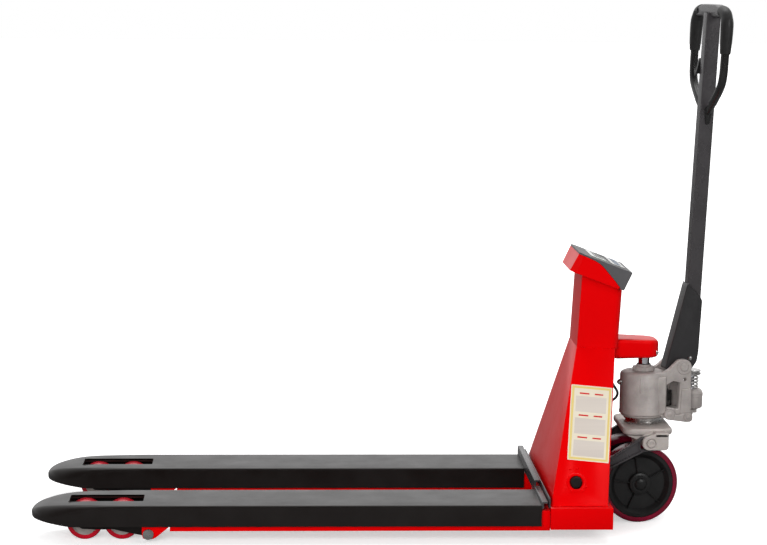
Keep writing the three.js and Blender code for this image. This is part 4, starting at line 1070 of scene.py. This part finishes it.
def wheel_face(side):
    """The hub's outer face: a sunk disc with ribs between the boss and the rim."""
    out = side * WHEEL_HALF
    disc = side * (WHEEL_HALF - 11)
    back = side * (WHEEL_HALF - 16)
    profile = [
        (10.4, back), (10.4, out), (20, out), (24.5, out - side * 2), (26.5, disc), (60, disc + side * 0.5),
        (67, out - side * 3), (69.5, out - side * 0.5), (RIM - 1, out - side * 0.5),
        (RIM, out - side * 1.5), (RIM, back)]
    return hoop(profile, "Y", segments=96)


def wheel_ribs(side):
    shapes = []
    for index in range(5):
        low, high = sorted((side * (WHEEL_HALF - 16), side * (WHEEL_HALF - 4.5)))
        rib = plate("XZ", low, high, rectangle(22, 70, -1.5, 1.5, 0.5), edge=1)
        rib.transform(Matrix.Rotation(radians(-(28 + 72 * index)), 4, "Y"))
        shapes.append(rib)
    return shapes


def make_wheels():
    for name, side in SIDES:
        place = STEERED @ Matrix.Translation((WHEEL.x, side * WHEEL.y, WHEEL.z))
        body = f"wheel_{name}"
        tread = hoop(
            mirrored([
                (RIM + 0.4, -WHEEL_HALF + 0.6), (WHEEL_RADIUS - 5, -WHEEL_HALF),
                (WHEEL_RADIUS - 1.6, -WHEEL_HALF + 1.6), (WHEEL_RADIUS, -WHEEL_HALF + 5)]),
            "Y", segments=128)
        piece(f"tyre_tread_{name}", tread, body, STEER_TYRE, [f"wheel_tyre_{name}"], place)
        drum = hoop(mirrored([(RIM - 7, -WHEEL_HALF + 16), (RIM, -WHEEL_HALF + 16)]), "Y", segments=96)
        hub = [wheel_face(-1), wheel_face(1), drum, *wheel_ribs(-1), *wheel_ribs(1)]
        piece(f"hub_casting_{name}", hub, body, HUB, [f"wheel_hub_{name}"], place)
        out = side * WHEEL_HALF
        ring = hoop(
            [(14.6, out - side), (14.6, out + side * 1.2), (19, out + side * 1.2), (20, out - side)], "Y",
            segments=48)
        cap = dome(14.4, side * 6.4, "Y", (0, out - side * 0.6, 0), steps=8, segments=48)
        piece(f"hub_cap_{name}", [ring, cap], body, HUB, place=place)
    axle = rod(10, -72, 72, "Y", (WHEEL.x, 0, WHEEL.z), 1)
    piece("wheel_axle_bar", axle, "steer_unit", DARK_STEEL, ["wheel_axle"])


# ---- handle ----

TUBE = {"low": Vector((108.2, 0, 400)), "high": Vector((145, 0, 1166)), "depth": 33.6, "width": 28}
STOP_PIN = Vector((105, 0, 370.5))
LOOP_TOP = 1186
GRIP_FOOT = 1069
LOOP_HALF = 105


def tube_x(z):
    """The handle tube's centre line at a height."""
    low, high = TUBE["low"], TUBE["high"]
    return low.x + (high.x - low.x) * (z - low.z) / (high.z - low.z)


def make_bracket():
    side = outline(
        (45.5, 344, 5), (111, 345.5, 6), (122.5, 362, 5), (126.3, 385), (132.5, 504, 6), (126.5, 516, 4),
        (97, 546, 4), (94, 538, 4), steps=6)
    body = plate("XZ", -19, 19, side, edge=2.2, edge_steps=3)
    inside = outline((48, 325), (117, 325), (117, 366), (112, 372), (112, 400), (64.5, 400))
    room = plate("XZ", -14, 14, inside, edge=0.05)
    hole = rod(10.6, -30, 30, "Y", PIVOT, 0)
    piece("bracket_fork", carve(body, room, hole), "handle", BRACKET, ["handle_bracket"], sharp=38)
    seam = smooth_path([(97.4, -19.1, 545.4), (112, -19.1, 531), (126.2, -19.1, 515.6)], 4)
    seams = [tube([Vector((p.x, turn * p.y, p.z)) for p in seam], 0.9, 8) for turn in (1, -1)]
    piece("bracket_weld", seams, "handle", GRAPHITE)
    x, _, z = STOP_PIN
    near, far = (dome(5.8, side * 4.4, "Y", (x, side * 19, z), 6, 24) for side in (-1, 1))
    head = [near, rod(3, -21, 21, "Y", STOP_PIN, 0.4, 20), far]
    piece("stop_pin", head, "handle", STEEL)
    at = (106, 0, 353)
    press = [rod(9, -13.5, 13.5, "Y", at, 1), rod(4, -18.5, 18.5, "Y", at, 0.5)]
    piece("pressure_roller_body", press, "pressure_roller", STEEL, ["pressure_roller"])


def make_tube():
    depth, width = TUBE["depth"] / 2, TUBE["width"] / 2
    ring = rectangle(-depth, depth, -width, width, 3.2)
    rings = []
    for z in (TUBE["low"].z, TUBE["high"].z):
        rings.append([(tube_x(z) + x, y, z) for x, y in ring])
    piece("shaft_tube", loft(rings), "handle", GRAPHITE, ["handle_tube"], sharp=25)


def loop_line(side):
    """The loop's centre line, from its foot on the tube up to the shoulder."""
    points = [
        (TUBE["width"] / 2 + 5, 940), (LOOP_HALF * 0.5, 968), (LOOP_HALF * 0.84, 998),
        (LOOP_HALF * 0.97, 1022), (LOOP_HALF, 1060), (LOOP_HALF, 1128), (LOOP_HALF * 0.96, 1153),
        (LOOP_HALF * 0.8, 1168), (LOOP_HALF * 0.4, 1172)]
    return smooth_path([(tube_x(z), side * y, z) for y, z in points], 8)


def make_loop():
    arms = []
    for side in (-1, 1):
        line = loop_line(side)
        arms.append(tube(line, lambda share: 9.5 - 2.5 * max(0, 1 - share * 9), 24))
        blade = outline(
            (tube_x(900) - 3, 912, 4), (tube_x(900) + 5, 912, 4), (tube_x(950) + 11, 952, 8),
            (tube_x(950) - 9, 956, 8))
        arms.append(plate("XZ", *outward(side, 14.3, 20), blade, edge=1.4))
    piece("loop_bar", arms, "handle", LOOP_BLACK, ["handle_loop"], sharp=40)
    arch = outline(
        (-88, 1157, 6), (-26, 1157, 4), (-15, 1164, 2), (15, 1164, 2), (26, 1157, 4), (88, 1157, 6),
        (80, LOOP_TOP - 9, 22), (36, LOOP_TOP - 1, 40), (-36, LOOP_TOP - 1, 40), (-80, LOOP_TOP - 9, 22),
        steps=10)
    x = tube_x(LOOP_TOP)
    crosspiece = plate("YZ", x - 12, x + 12, arch, edge=3.5, edge_steps=4)
    piece("loop_crosspiece", crosspiece, "handle", GRAPHITE, sharp=40)


def grip_radius(share):
    """A grip is tight at its foot, swells towards the hand, and closes in over the shoulder."""
    return 10.8 + 3.8 * sin(pi * min(0.78, 0.04 + 1.1 * share ** 0.8)) ** 0.7


def make_grips():
    for name, side in SIDES:
        line = [point for point in loop_line(side) if point.z > GRIP_FOOT]
        path = smooth_path(line[:int(len(line) * 0.86)], 2)
        sleeve = tube(path, grip_radius, 28)
        piece(f"grip_sleeve_{name}", sleeve, "handle", RUBBER, [f"grip_{name}"], sharp=40)


def make_trigger():
    """A ribbed thumb-sized lever on the tube's left side, with its nose past the tube's front face."""
    face = TUBE["depth"] / 2
    wedge = outline(
        (tube_x(1062) - face, 1062, 1), (tube_x(1029) - face - 6.8, 1029, 1.5),
        (tube_x(1026) - face - 4, 1026, 1), (tube_x(1026) - face + 12, 1026, 3),
        (tube_x(1062) - face + 12, 1062, 3), steps=5)
    paddle = plate("XZ", 14.6, 24, wedge, edge=0.9, edge_steps=3)
    piece("trigger_paddle", paddle, "trigger", RUBBER, ["control_trigger"], sharp=40)


# ---- cable and label ----

def make_cable():
    route = [
        (-232, -70, 60), (-222, -70, 66), (-212, -69, 90), (-207, -66, 127), (-200, -62, 165),
        (-178, -56, 215), (-146, -51, 250), (-114, -47, 269), (-88, -45, 275), (-71, -44, 284),
        (-66, -44, 297), (-74, -45, 312), (-86, -44, 330), (-96, -43, 350), (-110, -42, 368),
        (-124, -40, 382), (-128, -38, 396)]
    piece("sensor_cable_run", tube(smooth_path(route, 5), 3, 12), "chassis", RUBBER, ["sensor_cable"])


def make_label():
    """A blank cream panel with a yellow border and three plain fields, lying on the tower's near side."""
    lean, turned = tower_lean(), radians(5.6)
    width, height = 93.4, 179.4
    along = Vector((1, 0, 0))
    upward = Vector((0, sin(lean), cos(lean)))
    right = along * cos(turned) - upward * sin(turned)
    up = along * sin(turned) + upward * cos(turned)
    axes = Matrix((right, up, right.cross(up))).transposed().to_4x4()
    foot_x, foot_z = -199, 174
    foot = Vector((foot_x, -tower_side(foot_z), foot_z))
    seat = FIXED @ Matrix.Translation(foot) @ axes

    def lay(name, low, high, shapes, film):
        sheets = [plate("XY", low, high, shape, edge=0.03) for shape in shapes]
        piece(name, sheets, "chassis", film, place=seat)

    lay("label_sheet", 0.1, 0.5, [rectangle(0, width, 0, height, 2)], LABEL)
    border = rectangle(2.5, width - 2.5, 2.5, height - 2.5, 1)
    inner = rectangle(7.5, width - 7.5, 7.5, height - 7.5, 1)
    ring = plate("XY", 0.4, 0.62, border, inner, edge=0.03)
    piece("label_border", ring, "chassis", LABEL_EDGE, place=seat)
    step = (height - 22) / 3
    fields, bars = [], []
    for index in range(3):
        base = 11 + index * step
        fields.append(rectangle(12, width - 12, base, base + step - 15, 0.5))
        for left, right in ((20, 42), (54, width - 20)):
            bars.append(rectangle(left, right, base + step - 10, base + step - 6.5, 0.5))
    lay("label_fields", 0.4, 0.62, fields, LABEL_FIELD)
    lay("label_bars", 0.4, 0.62, bars, LABEL_BAR)


# ---- camera, light and floor ----

def make_camera():
    azimuth, pitch, roll = radians(2.5708), radians(7.5411), radians(0.4826)
    ahead = Vector((sin(azimuth) * cos(pitch), cos(azimuth) * cos(pitch), -sin(pitch)))
    level = Vector((cos(azimuth), -sin(azimuth), 0))
    up = level.cross(ahead)
    right = level * cos(roll) + up * sin(roll)
    over = up * cos(roll) - level * sin(roll)
    data = bpy.data.cameras.new("camera")
    data.sensor_width = 36
    data.lens = 113.41
    data.clip_end = 100
    camera = shown(bpy.data.objects.new("camera", data))
    axes = Matrix((right, over, -ahead)).transposed().to_4x4()
    stand = Vector((AXIS_X - 0.8515, -5.4888, 1.2957))
    camera.matrix_world = Matrix.Translation(stand) @ axes
    bpy.context.scene.camera = camera


def area_light(name, place, target, size, power, glossy=True):
    """A soft lamp; one that isn't glossy lights the paint without a white sheen."""
    data = bpy.data.lights.new(name, "AREA")
    data.shape = "RECTANGLE"
    data.size, data.size_y = size
    data.energy = power
    lamp = shown(bpy.data.objects.new(name, data))
    lamp.visible_glossy = glossy
    lamp.location = place
    lamp.rotation_euler = (Vector(target) - Vector(place)).to_track_quat("-Z", "Y").to_euler()


def make_world():
    """A white studio that is brightest behind and above the jack, and dim on its right side."""
    world = bpy.data.worlds.new("studio")
    bpy.context.scene.world = world
    world.use_nodes = True
    tree = world.node_tree
    place = add_node(tree, "TexCoord").outputs["Generated"]
    behind = add_node(tree, "SeparateXYZ", {"Vector": place}).outputs["Y"]
    spread = add_node(
        tree, "MapRange",
        {"Value": behind, "From Min": -0.5, "From Max": 0.6, "To Min": 0.05, "To Max": 1.0})
    straight = add_node(tree, "LightPath").outputs["Is Camera Ray"]
    seen = add_node(
        tree, "Mix", {"Factor": straight, "A": spread.outputs["Result"], "B": 1.0}, data_type="FLOAT")
    feed(tree, tree.nodes["Background"], {"Color": (1, 1, 1, 1), "Strength": seen.outputs["Result"]})


def make_stage():
    """A white floor that glows into the white behind it, but throws little light back on the jack."""
    mesh = bpy.data.meshes.new("floor")
    reach = 30
    mesh.from_pydata(
        [(-reach, -reach, 0), (reach, -reach, 0), (reach, reach, 0), (-reach, reach, 0)], [],
        [(0, 1, 2, 3)])
    floor = shown(bpy.data.objects.new("floor", mesh))
    floor.location.z = -0.0005
    paint = surface(
        "studio floor", (0.9, 0.9, 0.9), (0.92, 0.92, 0.92), (0.7, 0.8), blotch=0.5, grain=60, bump=0.02)
    tree = paint.node_tree
    place = add_node(tree, "TexCoord").outputs["Object"]
    distance = add_node(tree, "VectorMath", operation="LENGTH")
    tree.links.new(place, distance.inputs[0])
    glow = add_node(
        tree, "MapRange",
        {
            "Value": distance.outputs["Value"], "From Min": 0.8, "From Max": 3.0, "To Min": 0.5,
            "To Max": 1.0})
    shader = tree.nodes["Principled BSDF"]
    feed(tree, shader, {"Emission Color": (1, 1, 1, 1), "Emission Strength": glow.outputs["Result"]})
    dim = add_node(tree, "BsdfDiffuse", {"Color": (0.25, 0.25, 0.25, 1)})
    straight = add_node(tree, "LightPath").outputs["Is Camera Ray"]
    both = add_node(tree, "MixShader", {"Fac": straight, 1: dim.outputs["BSDF"], 2: shader.outputs["BSDF"]})
    feed(tree, tree.nodes["Material Output"], {"Surface": both.outputs["Shader"]})
    mesh.materials.append(paint)


make_camera()
make_world()
make_stage()
area_light("key", (-1.2, -5.0, 1.8), (0.2, 0, 0.5), (3.0, 2.2), 225, glossy=False)
area_light("fill", (2.8, -3.8, 2.6), (0.3, 0, 0.5), (2.0, 1.8), 62)
area_light("top", (0.4, 1.2, 4.2), (0, 0, 0.3), (3.6, 2.4), 80)
bpy.context.scene.view_settings.view_transform = "Standard"

make_forks()
make_heel()
make_tower()
make_column()
make_head()
make_arm()
make_rocker()
make_yoke()
make_rollers()
make_pump()
make_gland()
make_plunger()
make_release_lever()
make_pivots()
make_wheels()
make_bracket()
make_tube()
make_loop()
make_grips()
make_trigger()
make_cable()
make_label()
